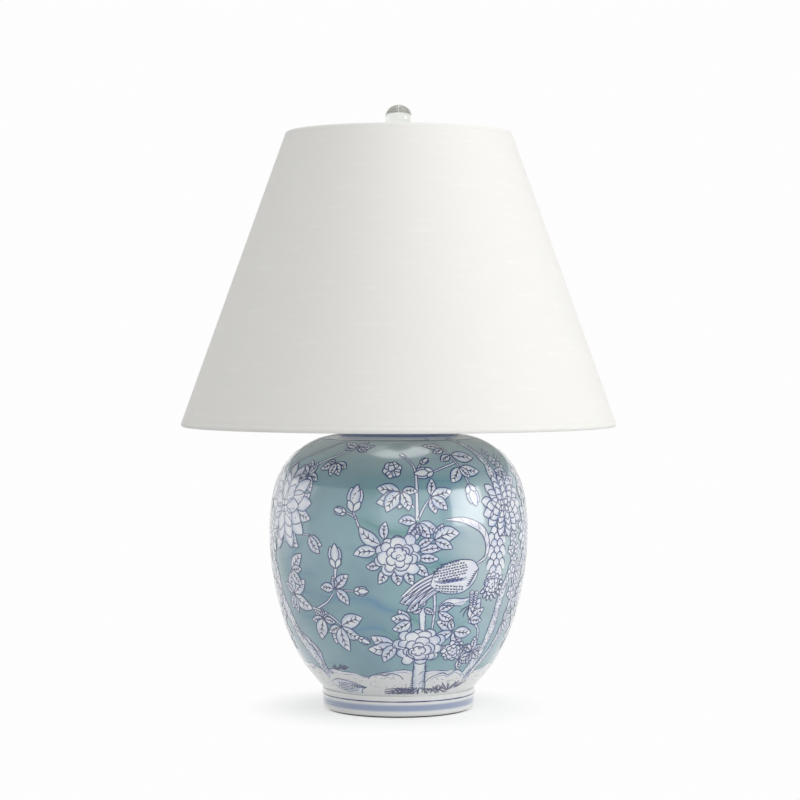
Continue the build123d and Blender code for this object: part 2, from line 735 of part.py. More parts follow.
def spider_arm(angle, radius):
    """One arm from the hub to the top ring, with a bend near the ring."""
    start = SPIDER_HUB_R - SPIDER_HUB_GRIP
    path = Plane.XZ * FilletPolyline(
        (start, hub_mid), (top_ring_r - ARM_BEND_BACK, hub_mid), (top_ring_r, top_ring_z),
        radius=[ARM_BEND_R],
    )
    return Rot(0, 0, angle) * wire(path, radius)


def spider_arms():
    rings = shade_ring(top_ring_r, top_ring_z)
    return Compound([spider_arm(angle, ARM_R) - rings for angle in ARM_ANGLES])


def spider_hub():
    hub = bar(SPIDER_HUB_R, hub_low, hub_top)
    hub = fillet(hub.edges(), SPIDER_HUB / 6)
    hub -= bar(STUD_R + SPIDER_HOLE_GAP, hub_low, hub_top)
    return hub - [spider_arm(angle, ARM_R) for angle in ARM_ANGLES]


# ---- Finial
def finial_base():
    cup_low = finial_cup_top - FINIAL_CUP_H
    flange_top = finial_z + FINIAL_FLANGE
    base = turned(
        (0, finial_z, 0), (FINIAL_FLANGE_R, finial_z, FINIAL_ROUND),
        (FINIAL_FLANGE_R, flange_top, FINIAL_ROUND),
        (FINIAL_WAIST_R, flange_top + FINIAL_ROUND, FINIAL_WAIST_ROUND),
        (FINIAL_WAIST_R, cup_low - FINIAL_ROUND, FINIAL_WAIST_ROUND),
        (FINIAL_CUP_R, cup_low + FINIAL_ROUND, FINIAL_CUP_ROUND),
        (FINIAL_CUP_R, finial_cup_top, FINIAL_ROUND), (0, finial_cup_top, 0),
    )
    base -= Pos(0, 0, ball_z) * Sphere(FINIAL_R + GLUE)
    base += bar(PEG_R, cup_low, peg_top)
    return base - bar(STUD_R + SCREW_GAP, finial_z, stud_top + FINIAL_BORE_SPARE)


def finial_ball():
    return Pos(0, 0, ball_z) * Sphere(FINIAL_R) - bar(PEG_R + GLUE, finial_z, peg_top + GLUE)


# ---- Every piece under its name
PIECES = {
    "jar": jar(),
    "felt_pad": felt_pad(),
    "cord_gland": cord_gland(),
    "base_rubber_washer": base_rubber_washer(),
    "base_washer": base_washer(),
    "lock_washer": lock_washer(),
    "base_nut": base_nut(),
    "threaded_rod": threaded_rod(),
    "cap_gasket": cap_gasket(),
    "vase_cap": vase_cap(),
    "neck_tube": neck_tube(),
    "harp_saddle": harp_saddle(),
    "socket_cap": socket_cap(),
    "socket_set_screw": socket_set_screw(),
    "socket_shell": socket_shell(),
    "socket_liner": socket_liner(),
    "socket_body": socket_body(),
    "terminal_screws": terminal_screws(),
    "screw_shell": screw_shell(),
    "centre_contact": centre_contact(),
    "switch_shaft": switch_shaft(),
    "switch_knob": switch_knob(),
    "bulb_glass": bulb_glass(),
    "bulb_base": bulb_base(),
    "bulb_insulator": bulb_insulator(),
    "bulb_tip": bulb_tip(),
    "bulb_stem": bulb_stem(),
    "bulb_filament": bulb_filament(),
    "harp": harp(),
    "harp_ferrule_left": harp_ferrule(-1),
    "harp_ferrule_right": harp_ferrule(1),
    "harp_stud": harp_stud(),
    "spider_hub": spider_hub(),
    "spider_arms": spider_arms(),
    "shade_top_ring": shade_ring(top_ring_r, top_ring_z),
    "shade_bottom_ring": shade_ring(bottom_ring_r, bottom_ring_z),
    "shade_fabric": shade_fabric(),
    "shade_liner": shade_liner(),
    "finial_base": finial_base(),
    "finial_ball": finial_ball(),
}

os.makedirs("parts", exist_ok=True)
for name, piece in PIECES.items():
    export_step(piece, f"parts/{name}.step")
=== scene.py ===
import bpy
import json
import math
import numpy as np
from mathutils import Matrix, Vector


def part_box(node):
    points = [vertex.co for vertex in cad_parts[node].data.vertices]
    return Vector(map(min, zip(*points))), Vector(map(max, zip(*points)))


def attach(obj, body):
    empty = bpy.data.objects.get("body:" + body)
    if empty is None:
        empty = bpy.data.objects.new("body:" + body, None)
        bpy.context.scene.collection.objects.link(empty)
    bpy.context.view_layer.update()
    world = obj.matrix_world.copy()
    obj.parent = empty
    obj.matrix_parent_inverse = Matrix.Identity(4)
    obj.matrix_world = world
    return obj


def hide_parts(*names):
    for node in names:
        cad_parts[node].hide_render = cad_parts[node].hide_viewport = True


# A ginger jar lamp: the painted glaze, the cloth shade, the metalwork and the studio around them.
# The scene is in metres. Drawings on the jar are laid out in millimetres on its surface.

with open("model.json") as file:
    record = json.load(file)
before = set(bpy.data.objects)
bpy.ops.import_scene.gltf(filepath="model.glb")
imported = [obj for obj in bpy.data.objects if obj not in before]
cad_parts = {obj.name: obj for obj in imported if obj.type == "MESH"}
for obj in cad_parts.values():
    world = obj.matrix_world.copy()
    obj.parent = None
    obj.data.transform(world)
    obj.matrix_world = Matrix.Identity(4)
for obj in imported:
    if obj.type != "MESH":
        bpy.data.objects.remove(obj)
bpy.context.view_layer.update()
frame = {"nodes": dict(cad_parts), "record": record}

MM = 0.001


def tint(red, green, blue):
    """A colour as it looks on a screen, 0 to 255, in the renderer's own units."""
    shares = [channel / 255 for channel in (red, green, blue)]
    linear = [s / 12.92 if s <= 0.04045 else ((s + 0.055) / 1.055) ** 2.4 for s in shares]
    return (*linear, 1.0)


# ---------------------------------------------------------------- how a finish is written
class Signal:
    """A shader socket that sums can be written with."""

    def __init__(self, finish, socket):
        self.finish, self.socket = finish, socket

    def maths(self, operation, *values):
        return self.finish.add("Math", {"operation": operation}, dict(enumerate(values)))

    def __add__(self, other):
        return self.maths("ADD", self, other)

    def __sub__(self, other):
        return self.maths("SUBTRACT", self, other)

    def __rsub__(self, other):
        return self.maths("SUBTRACT", other, self)

    def __mul__(self, other):
        return self.maths("MULTIPLY", self, other)

    def __truediv__(self, other):
        return self.maths("DIVIDE", self, other)

    def __abs__(self):
        return self.maths("ABSOLUTE", self)

    def __mod__(self, other):
        return self.maths("FLOORED_MODULO", self, other)

    __radd__ = __add__
    __rmul__ = __mul__

    def larger(self, other):
        return self.maths("MAXIMUM", self, other)

    def sine(self):
        return self.maths("SINE", self)

    def root(self):
        return self.maths("SQRT", self)

    def step(self, low, high):
        """0 below low, 1 above high, with a soft change between them."""
        values = {"Value": self, "From Min": low, "From Max": high}
        return self.finish.add("MapRange", {"interpolation_type": "SMOOTHSTEP"}, values)

    def within(self, low, high, soft):
        """1 between low and high, 0 outside them."""
        return self.step(low - soft, low + soft) * (1 - self.step(high - soft, high + soft))


class Finish:
    """One material and its nodes."""

    def __init__(self, name):
        self.material = bpy.data.materials.new(name)
        self.material.use_nodes = True
        self.nodes, self.links = self.material.node_tree.nodes, self.material.node_tree.links
        self.nodes.clear()

    def add(self, kind, settings=None, sockets=None, output=0):
        """A node of any type: its settings first, then the values or links of its sockets."""
        node = self.nodes.new("ShaderNode" + kind)
        for name, value in (settings or {}).items():
            setattr(node, name, value)
        for key, value in (sockets or {}).items():
            if isinstance(value, Signal):
                self.links.new(value.socket, node.inputs[key])
            else:
                node.inputs[key].default_value = value
        return Signal(self, node.outputs[output] if len(node.outputs) else None)

    def place(self):
        """The point on the piece, in metres, as a vector."""
        return self.add("TexCoord", output="Object")

    def axes(self):
        """The point's three coordinates."""
        split = self.add("SeparateXYZ", None, {0: self.place()})
        return [Signal(self, socket) for socket in split.socket.node.outputs]

    def around(self):
        """The angle about the lamp's axis, in radians."""
        x, y, _ = self.axes()
        return x.maths("ARCTAN2", x, y)

    def noise(self, scale, detail=2.0, stretch=None):
        """Smooth random patches, scale of them to the metre; stretch pulls them out along an axis."""
        vector = self.place()
        if stretch:
            vector = self.add("VectorMath", {"operation": "MULTIPLY"}, {0: vector, 1: stretch})
        return self.add("TexNoise", None, {"Vector": vector, "Scale": scale, "Detail": detail})

    def mix(self, share, one, other):
        """One colour where share is 0 and the other where it is 1."""
        return self.add("Mix", {"data_type": "RGBA"}, {0: share, 6: one, 7: other}, output=2)

    def bump(self, height, depth):
        """The surface's normal, tilted by a relief that is depth metres from low to high."""
        return self.add("Bump", None, {"Height": height, "Distance": depth})

    def attribute(self, name):
        """A number kept at each of the mesh's points."""
        return self.add("Attribute", {"attribute_name": name}, output="Fac")

    def principled(self, **sockets):
        """The Principled shader, its sockets named with underscores for spaces."""
        named = {key.replace("_", " "): value for key, value in sockets.items()}
        return self.add("BsdfPrincipled", None, named)

    def show(self, shader):
        self.add("OutputMaterial", None, {"Surface": shader})
        return self


# ---------------------------------------------------------------- the jar's glazes
FOOT_HEIGHT = 0.0214
SHOULDER_HEIGHT = 0.273
BELLY_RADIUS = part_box("jar")[1].x
HAZE_FACING = (0.77, -0.64)         # the way the two sides face that get a painted reflection, paler celadon
STREAKS = ((0.0235, 0.0, 0.0), (0.040, 5.0, 0.3))     # spacing, place in the noise, slant
STREAK_WAVE = 0.13                # how far a streak wanders up and down
FOOT_BAND = (0.0068, 0.0128)
NECK_BAND = (SHOULDER_HEIGHT - 0.0008, SHOULDER_HEIGHT + 0.012)
FOOT_RING, FOOT_RING_WIDTH = 0.0162, 0.00125
SHOULDER_RING, SHOULDER_RING_WIDTH = 0.2692, 0.0013
GLAZE_GLOSS = 0.24
GLAZE = {"IOR": 1.6, "Coat_Weight": 1.0, "Coat_Roughness": 0.09, "Coat_IOR": 1.65}

celadon_shade = tint(101, 144, 160)
celadon_light = tint(133, 171, 184)
celadon_green = tint(113, 163, 167)
# paler celadon used only for the painted reflection on the ground
painted_haze_colour = tint(186, 203, 207)
streak_blue = tint(64, 128, 166)
streak_green = tint(70, 140, 140)
glaze_white = tint(230, 232, 231)
shoulder_white = tint(228, 233, 238)
cobalt_band = tint(92, 116, 164)
cobalt_soft = tint(136, 156, 192)
biscuit = tint(196, 186, 168)


def ground_glaze():
    """Celadon ground with clouds and wavy streaks, a painted reflection that turns it paler on two sides
    and on the upper shoulder, cobalt bands at foot and neck, bare clay below.
    """
    finish = Finish("ground_glaze")
    x, y, z = finish.axes()
    clouds = finish.noise(11.0, 3.0).step(0.35, 0.66)
    drifts = finish.noise(26.0, 3.0, stretch=(1.0, 1.0, 0.6)).step(0.42, 0.7)
    colour = finish.mix(clouds, celadon_shade, celadon_light)
    colour = finish.mix(drifts * 0.55, colour, celadon_green)

    streak = finish.mix(finish.noise(9.0, 1.0).step(0.42, 0.58), streak_blue, streak_green)
    for spacing, seed, slant in STREAKS:
        place = finish.add("VectorMath", {"operation": "ADD"}, {0: finish.place(), 1: (seed, seed, seed)})
        wander = finish.add("TexNoise", None, {"Vector": place, "Scale": 6.0, "Detail": 2.0})
        wave = (wander - 0.5) * STREAK_WAVE
        height = z + wave + x * slant + (finish.noise(34.0, 2.0) - 0.5) * 0.006
        beside = abs((height / spacing) % 1.0 - 0.5) * spacing
        core = 1 - beside.step(0.0003, 0.0019)
        halo = 1 - beside.step(0.0006, 0.0085)
        broken = finish.noise(11.0, 2.0, stretch=(1.0, 1.0, 1.8)).step(0.40 + slant * 0.2, 0.60)
        colour = finish.mix((core * 0.42 + halo * 0.4) * broken, colour, streak)

    # Painted reflection: the ground turns paler on the side towards the key light, on the opposite side,
    # and on the upper shoulder under the shade.
    facing = abs(x * HAZE_FACING[0] + y * HAZE_FACING[1]) / BELLY_RADIUS
    painted_haze_sides = (facing + (finish.noise(12.0, 2.0) - 0.5) * 0.12).step(0.83, 0.97) * 0.72
    painted_haze = painted_haze_sides.larger(z.step(0.222, 0.268) * 0.7 + finish.noise(16.0, 2.0) * 0.1)
    colour = finish.mix(painted_haze, colour, painted_haze_colour)
    shoulder = z.step(SHOULDER_HEIGHT - 0.0040, SHOULDER_HEIGHT - 0.0034)
    foot_white = 1 - z.step(FOOT_HEIGHT + 0.0045, FOOT_HEIGHT + 0.0055)
    colour = finish.mix(foot_white, finish.mix(shoulder, colour, shoulder_white), glaze_white)
    brushed = finish.noise(20.0, 3.0, stretch=(1.0, 1.0, 9.0)).step(0.25, 0.75)
    band_colour = finish.mix(brushed, cobalt_band, cobalt_soft)
    neck_band = z.within(*NECK_BAND, 0.0006)
    foot_band = z.within(*FOOT_BAND, 0.0014) * (brushed * 0.25 + 0.7)
    colour = finish.mix((neck_band * 0.92).larger(foot_band), colour, band_colour)

    from_axis = (x * x + y * y).root()
    under = 1 - z.step(0.0015, 0.0019)
    hidden = (1 - from_axis.step(0.0662, 0.0672)) * (1 - z.step(0.0182, 0.0188))
    bare = under.larger(hidden)
    clay = finish.mix(finish.noise(700.0, 2.0), biscuit, tint(214, 206, 190))
    colour = finish.mix(bare, colour, clay)
    roughness = bare * 0.65 + finish.noise(60.0) * 0.05 + GLAZE_GLOSS - 0.025
    uneven = finish.noise(19.0, 1.0) + finish.noise(420.0, 1.0) * 0.012
    return finish.show(finish.principled(
        Base_Color=colour, Roughness=roughness, **GLAZE, Normal=finish.bump(uneven, 0.0016)))


def show_glazed(finish, colour):
    """Painted colour under the jar's clear glaze."""
    gloss = finish.noise(60.0) * 0.05 + GLAZE_GLOSS - 0.02
    return finish.show(finish.principled(Base_Color=colour, Roughness=gloss, **GLAZE))


def cobalt_line():
    """Brushed cobalt outlines: nearly black where the brush was full, blue where it ran dry."""
    finish = Finish("cobalt_line")
    pooled = finish.noise(170.0, 2.0).step(0.3, 0.7)
    share = finish.attribute("tone") * 0.7 + pooled * 0.22
    colour = finish.mix(share, tint(14, 27, 86), tint(58, 94, 172))
    return show_glazed(finish, colour)


def white_wash():
    """White under the drawing: cobalt bleeds in where tone is near 1, and none where it is -1."""
    finish = Finish("white_wash")
    edge = finish.attribute("tone")
    mottled = finish.noise(120.0, 3.0)
    bleed = (edge * 0.8 + (mottled - 0.5) * 0.7).step(0.1, 1.05)
    lilac = finish.mix(finish.noise(60.0).step(0.4, 0.65), tint(232, 236, 240), tint(222, 224, 238))
    colour = finish.mix(bleed, lilac, tint(142, 178, 210))
    colour = finish.mix(edge.step(-0.8, -0.1), glaze_white, colour)
    return show_glazed(finish, colour)


# ---------------------------------------------------------------- other finishes
def grained(name, scale, detail, one, other, rough, relief=None, stretch=None, **sockets):
    """Colour, roughness and relief that follow one fine grain; rough is the least and how much it rises."""
    finish = Finish(name)
    grain = finish.noise(scale, detail, stretch)
    if relief:
        sockets["Normal"] = finish.bump(grain, relief)
    start, rise = rough
    return finish.show(finish.principled(
        Base_Color=finish.mix(grain, tint(*one), tint(*other)), Roughness=grain * rise + start, **sockets))


def steel_wire():
    return grained("plain_steel", 1200.0, 2.0, (168, 168, 168), (196, 196, 196), (0.25, 0.2),
                   stretch=(1.0, 0.05, 1.0), Metallic=1.0)


def moulded_rubber(name, dark, light):
    return grained(name, 320.0, 3.0, dark, light, (0.5, 0.15), 0.0001)


def satin_nickel():
    finish = Finish("satin_nickel")
    brushed = finish.noise(900.0, 3.0, stretch=(1.0, 1.0, 0.06))
    smudged = finish.noise(45.0, 2.0)
    colour = finish.mix(smudged, tint(206, 202, 195), tint(190, 186, 179))
    return finish.show(finish.principled(
        Base_Color=colour, Metallic=1.0, Roughness=brushed * 0.12 + smudged * 0.1 + 0.14,
        Normal=finish.bump(brushed, 0.00002)))


def brass():
    finish = Finish("bright_brass")
    tarnish = finish.noise(220.0, 3.0).step(0.35, 0.75)
    colour = finish.mix(tarnish, tint(222, 184, 110), tint(176, 140, 84))
    return finish.show(finish.principled(Base_Color=colour, Metallic=1.0, Roughness=tarnish * 0.2 + 0.2))


def pressed_cork():
    finish = Finish("pressed_cork")
    grains = finish.add("TexVoronoi", None, {"Vector": finish.place(), "Scale": 480.0}, output="Color")
    shade = finish.add("SeparateXYZ", None, {0: grains})
    colour = finish.mix(shade, tint(176, 128, 84), tint(120, 82, 52))
    return finish.show(finish.principled(
        Base_Color=colour, Roughness=0.9, Normal=finish.bump(shade, 0.0003)))


def moulded_plastic(name, dark, light, gloss):
    finish = Finish(name)
    flow = finish.noise(140.0, 3.0)
    grain = finish.noise(1800.0, 2.0)
    return finish.show(finish.principled(
        Base_Color=finish.mix(flow, dark, light), Roughness=grain * 0.12 + gloss,
        Normal=finish.bump(grain, 0.00003)))


def clear_glass():
    finish = Finish("clear_glass")
    drawn = finish.noise(260.0, 1.0)
    return finish.show(finish.principled(
        Base_Color=tint(248, 250, 250), Roughness=drawn * 0.03, IOR=1.5, Transmission_Weight=1.0))


def clear_acrylic():
    """Polished, with the faint swirl that casting leaves."""
    finish = Finish("clear_acrylic")
    swirl = finish.noise(150.0, 1.0)
    return finish.show(finish.principled(
        Base_Color=tint(232, 234, 230), Roughness=swirl * 0.04, IOR=1.49, Transmission_Weight=1.0,
        Normal=finish.bump(swirl, 0.0001)))


THREAD = 0.00075
SHADE_MIDDLE_RADIUS = 0.165


def shade_weave():
    """Fine plain weave: threads up the cone and round it, slubs here and there."""
    finish = Finish("shade_weave")
    _, _, z = finish.axes()
    turns = 2 * math.pi * SHADE_MIDDLE_RADIUS / THREAD
    upright = (finish.around() * turns + finish.noise(60.0) * 2.0).sine()
    level = (z * (2 * math.pi / THREAD) + finish.noise(60.0) * 2.0).sine()
    weave = upright * level * 0.5 + 0.5
    slubs = finish.noise(240.0, 2.0, stretch=(0.12, 0.12, 1.0)).step(0.55, 0.8)
    colour = finish.mix(weave * 0.6 + slubs * 0.4, tint(231, 230, 226), tint(240, 239, 235))
    return finish.show(finish.principled(
        Base_Color=colour, Roughness=0.86, Sheen_Weight=0.15, Sheen_Roughness=0.4,
        Normal=finish.bump(weave + slubs * 0.8, 0.00006)))


CAD_FINISHES = {
    "painted_glaze": ground_glaze(),
    "felt": grained("wool_felt", 2600.0, 4.0, (58, 60, 64), (92, 94, 98), (0.95, 0.0), 0.0004,
                    Sheen_Weight=0.3, Sheen_Roughness=0.5),
    "gland_rubber": moulded_rubber("gland_rubber", (214, 214, 208), (228, 228, 224)),
    "soft_washer": moulded_rubber("soft_washer", (34, 34, 34), (56, 56, 56)),
    "zinc_steel": grained("zinc_plate", 350.0, 4.0, (178, 180, 182), (205, 203, 190), (0.28, 0.25), 0.00003,
                          Metallic=1.0),
    "cork": pressed_cork(),
    "nickel": satin_nickel(),
    "liner_paper": grained("fibre_paper", 900.0, 4.0, (112, 100, 86), (146, 134, 116), (0.8, 0.0), 0.0001,
                           stretch=(1.0, 1.0, 0.25)),
    "phenolic": moulded_plastic("phenolic", tint(38, 32, 30), tint(56, 48, 44), 0.45),
    "contact_brass": brass(),
    "shaft_steel": steel_wire(),
    "knob_plastic": moulded_plastic("knob_plastic", tint(26, 26, 27), tint(38, 38, 40), 0.22),
    "frosted_glass": grained("frosted_glass", 1500.0, 2.0, (244, 244, 240), (234, 235, 232), (0.12, 0.08),
                             0.00002, IOR=1.5, Transmission_Weight=0.25, Subsurface_Weight=0.3,
                             Subsurface_Scale=0.004),
    "clear_glass": clear_glass(),
    "bulb_metal": grained("rolled_aluminium", 700.0, 2.0, (214, 214, 214), (196, 196, 198), (0.26, 0.18),
                          0.00002, stretch=(1.0, 1.0, 0.2), Metallic=1.0),
    "solder": grained("soft_solder", 500.0, 3.0, (150, 152, 156), (186, 188, 190), (0.3, 0.3), 0.0002,
                      Metallic=1.0),
    "black_glass": moulded_plastic("black_glass", tint(18, 18, 22), tint(30, 30, 36), 0.06),
    "lead_wire": steel_wire(),
    "white_wire": grained("powder_coat", 1100.0, 2.0, (232, 232, 228), (222, 222, 218), (0.42, 0.0),
                          0.00006),
    "styrene": grained("styrene_sheet", 90.0, 3.0, (240, 240, 236), (232, 232, 228), (0.38, 0.15), 0.0001),
    "clear_acrylic": clear_acrylic(),
}


def finish_cad_nodes():
    """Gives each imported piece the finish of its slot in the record."""
    for subpart in frame["record"]["subparts"]:
        finish = CAD_FINISHES.get(subpart["material_slot"])
        if finish:
            mesh = frame["nodes"][subpart["node"]].data
            mesh.materials.clear()
            mesh.materials.append(finish.material)
            mesh.polygons.foreach_set("material_index", [0] * len(mesh.polygons))


# ---------------------------------------------------------------- modelled pieces
def add_piece(name, points, faces, finish, body, normals=None, attributes=None):
    """A named piece that moves with its body; attributes hold one number for each point."""
    mesh = bpy.data.meshes.new(name)
    mesh.from_pydata(points.tolist(), [], faces)
    for key, values in (attributes or {}).items():
        mesh.attributes.new(key, "FLOAT", "POINT").data.foreach_set("value", values)
    mesh.shade_smooth()
    if normals is None:
        mesh.set_sharp_from_angle(angle=math.radians(40))
    else:
        mesh.normals_split_custom_set_from_vertices(normals.tolist())
    mesh.materials.append(finish.material)
    piece = bpy.data.objects.new(name, mesh)
    bpy.context.scene.collection.objects.link(piece)
    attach(piece, body)
    return piece


def ring_faces(rows, columns):
    """Faces of a closed outline turned all the way round."""
    faces = []
    for column in range(columns):
        beside = (column + 1) % columns
        for row in range(rows):
            above = (row + 1) % rows
            faces.append((column * rows + row, beside * rows + row,
                          beside * rows + above, column * rows + above))
    return faces


# The shade's cloth, wrapped round the wire rings and turned in as hems
CLOTH = 0.6 * MM
WIRE_TO_CLOTH = 1.9 * MM          # from a ring's wire centre to the cloth's inner face
HEM = 10.0 * MM
HEM_REST = 1.33 * MM              # how far out of the rings' line the hem's tip lies
CREASE_AT = 3.2 * MM              # from the ring's wire to the edge of the stiff sheet
CREASE_DEPTH = 0.16 * MM
SEAM_WIDTH = 9.0 * MM
SEAM_RISE = 0.45 * MM
SEAM_TURN = math.radians(172)     # nearly at the back
SHADE_COLUMNS = 288


def ring_line(node):
    """Radius and height of a wire ring's centre."""
    low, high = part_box(node)
    height = (low.z + high.z) / 2
    return np.array([high.x - (high.z - low.z) / 2, height])


def shade_outline(rise):
    """Closed outline of the cloth; rise lifts its outer face, as at the glued seam."""
    low, high = ring_line("shade_bottom_ring"), ring_line("shade_top_ring")
    length = np.linalg.norm(high - low)
    up = (high - low) / length
    out = np.array([up[1], -up[0]])
    outer, inner = WIRE_TO_CLOTH + CLOTH, WIRE_TO_CLOTH
    hem_turn = math.atan2(HEM_REST, HEM) - math.acos(inner / math.hypot(HEM, HEM_REST))

    def roll(ring, into, radius):
        angles = np.linspace(math.pi / 2, hem_turn + 2 * math.pi, 15)
        return [ring + into * radius * math.cos(a) + out * radius * math.sin(a) for a in angles]

    def hem(ring, into):
        tip = ring + into * HEM + out * HEM_REST
        thick = (into * math.cos(hem_turn) + out * math.sin(hem_turn)) * CLOTH
        outside, inside = roll(ring, into, outer), roll(ring, into, inner)
        return outside, [tip + thick, tip], inside[::-1]

    low_outside, low_tip, low_inside = hem(low, up)
    high_outside, high_tip, high_inside = hem(high, -up)
    wall = []
    stations = (0.4, 0.75, 1.0, 1.25, 1.8)
    near_low = [CREASE_AT * share for share in stations]
    middle = np.linspace(CREASE_AT * 3, length - CREASE_AT * 3, 14).tolist()
    near_high = [length - along for along in near_low[::-1]]
    for along in near_low + middle + near_high:
        from_crease = min(abs(along - CREASE_AT), abs(length - along - CREASE_AT))
        sink = CREASE_DEPTH * max(0.0, 1 - from_crease / (0.5 * MM))
        wall.append(low + up * along + out * (outer + rise - sink))
    inside_wall = [low + up * along + out * inner for along in np.linspace(2 * MM, length - 2 * MM, 12)]
    outline = wall + high_outside + high_tip + high_inside
    return outline + inside_wall[::-1] + low_inside[::-1] + low_tip[::-1] + low_outside[::-1]


def shade_cloth():
    """The cone of cloth, with its glued seam at the back."""
    seam_half = SEAM_WIDTH / 2 / SHADE_MIDDLE_RADIUS
    turns = [i * 2 * math.pi / SHADE_COLUMNS for i in range(SHADE_COLUMNS)]
    turns = [t for t in turns if abs(t - SEAM_TURN) > seam_half * 1.15]
    edges = [SEAM_TURN - seam_half * 1.08, SEAM_TURN - seam_half, SEAM_TURN, SEAM_TURN + seam_half,
             SEAM_TURN + seam_half + 0.0015]
    turns = sorted(turns + edges)
    points = []
    for turn in turns:
        on_seam = abs(turn - SEAM_TURN) <= seam_half + 1e-9
        ease = 0.6 if turn < SEAM_TURN - seam_half / 2 else 1.0
        outline = np.array(shade_outline(SEAM_RISE * ease if on_seam else 0.0))
        points.append(np.column_stack([
            outline[:, 0] * math.sin(turn), -outline[:, 0] * math.cos(turn), outline[:, 1]]))
    rows = len(points[0])
    faces = ring_faces(rows, len(turns))
    cloth = add_piece("shade_cloth", np.vstack(points), faces, shade_weave(), "shade")
    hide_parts("shade_fabric")
    return cloth


# ---------------------------------------------------------------- painting on the jar
LAYER = 0.03 * MM                 # each layer of paint lies this much above the one before
LINE_STEP = 1.3                   # millimetres between the points of a stroke
WASH_STEP = 3.0
GROUND_LAYER, ROCK_LAYER, TRUNK_LAYER, STEM_LAYER, LEAF_LAYER, BLOOM_LAYER = 1, 2, 3, 4, 5, 8
SIDE_STEPS = 700                  # how finely the jar's outline is followed
FINEST_ROW = 0.8 * MM             # rows of the mesh that lie closer than this are left out
SCALLOP_POINTS = 6                # from one notch of a blossom to the next


class JarSide:
    """The jar's outside, read from its mesh: radius and height by the distance along its curve."""

    def __init__(self, jar, low, high):
        count = len(jar.data.vertices)
        points, normals = np.zeros(count * 3), np.zeros(count * 3)
        jar.data.vertices.foreach_get("co", points)
        jar.data.vertices.foreach_get("normal", normals)
        points, normals = points.reshape(-1, 3), normals.reshape(-1, 3)
        radius = np.hypot(points[:, 0], points[:, 1])
        outward = (normals[:, :2] * points[:, :2]).sum(1) / np.maximum(radius, 1e-6)
        body = (outward > 0.15) & (points[:, 2] > low) & (points[:, 2] < high)
        rows = {}
        for height, reach in zip(points[body, 2].round(5), radius[body]):
            rows[height] = max(reach, rows.get(height, 0.0))
        heights = np.array(sorted(rows))
        reaches = np.array([rows[h] for h in heights])
        steps = np.hypot(np.diff(heights), np.diff(reaches))
        keep = np.concatenate([[True], steps > FINEST_ROW])
        heights, reaches = heights[keep], reaches[keep]
        along = np.concatenate([[0.0], np.cumsum(np.hypot(np.diff(heights), np.diff(reaches)))])
        self.along = np.linspace(0, along[-1], SIDE_STEPS)
        self.radius = self.smooth_rows(along, reaches)
        self.height = self.smooth_rows(along, heights)
        slope_r, slope_z = np.gradient(self.radius), np.gradient(self.height)
        length = np.hypot(slope_r, slope_z)
        self.normal_r, self.normal_z = slope_z / length, -slope_r / length

    def smooth_rows(self, along, values):
        """A smooth curve through the mesh's rows."""
        slopes = np.gradient(values, along)
        row = np.clip(np.searchsorted(along, self.along) - 1, 0, len(along) - 2)
        span = along[row + 1] - along[row]
        t = (self.along - along[row]) / span
        start, end = (1 + 2 * t) * (1 - t) ** 2, t * t * (3 - 2 * t)
        lead, trail = t * (1 - t) ** 2 * span, t * t * (t - 1) * span
        return start * values[row] + end * values[row + 1] + lead * slopes[row] + trail * slopes[row + 1]

    def along_at(self, height):
        return np.interp(height, self.height, self.along)

    def radius_at(self, along):
        return np.interp(along, self.along, self.radius)

    def points(self, turn, along, lift):
        """Points and normals on the jar, from the turn off its front and the distance up its side."""
        normal_r, normal_z = (np.interp(along, self.along, n) for n in (self.normal_r, self.normal_z))
        radius = self.radius_at(along) + normal_r * lift
        height = np.interp(along, self.along, self.height) + normal_z * lift
        across, ahead = np.sin(turn), -np.cos(turn)
        return (np.column_stack([radius * across, radius * ahead, height]),
                np.column_stack([normal_r * across, normal_r * ahead, normal_z]))


class Coat:
    """Everything painted with one glaze, gathered into one mesh."""

    def __init__(self):
        self.points, self.normals, self.tones, self.faces, self.count = [], [], [], [], 0

    def add(self, turns, alongs, tones, layer, on=None):
        """A patch of rows by columns, kept within the part of the jar it is painted on."""
        rows, columns = turns.shape
        on = on or side
        alongs = np.clip(alongs, on.along[0], on.along[-1])
        points, normals = on.points(turns.ravel(), alongs.ravel(), layer * LAYER)
        self.points.append(points)
        self.normals.append(normals)
        self.tones.append(np.broadcast_to(tones, (rows, columns)).ravel())
        corner = self.count + np.arange(rows * columns).reshape(rows, columns)
        quads = np.stack([corner[:-1, :-1], corner[:-1, 1:], corner[1:, 1:], corner[1:, :-1]], -1)
        self.faces.append(quads.reshape(-1, 4))
        self.count += rows * columns

    def piece(self, name, finish):
        """The mesh, its faces all looking out and none without area."""
        points, faces = np.vstack(self.points), np.vstack(self.faces)
        a, b, c, d = (points[faces[:, i]] for i in range(4))
        area = np.cross(c - a, d - b)
        outward = (area * np.vstack(self.normals)[faces[:, 0]]).sum(1)
        sized = np.linalg.norm(area, axis=1) > 2e-9
        faces, outward = faces[sized], outward[sized]
        faces[outward < 0] = faces[outward < 0][:, ::-1]
        return add_piece(name, points, faces.tolist(), finish, "base",
                         normals=np.vstack(self.normals), attributes={"tone": np.concatenate(self.tones)})


side = JarSide(frame["nodes"]["jar"], FOOT_HEIGHT + 0.0004, SHOULDER_HEIGHT - 0.001)
foot_side = JarSide(frame["nodes"]["jar"], 0.0024, FOOT_HEIGHT - 0.0008)
lines, washes = Coat(), Coat()
chance = np.random.default_rng(1368)


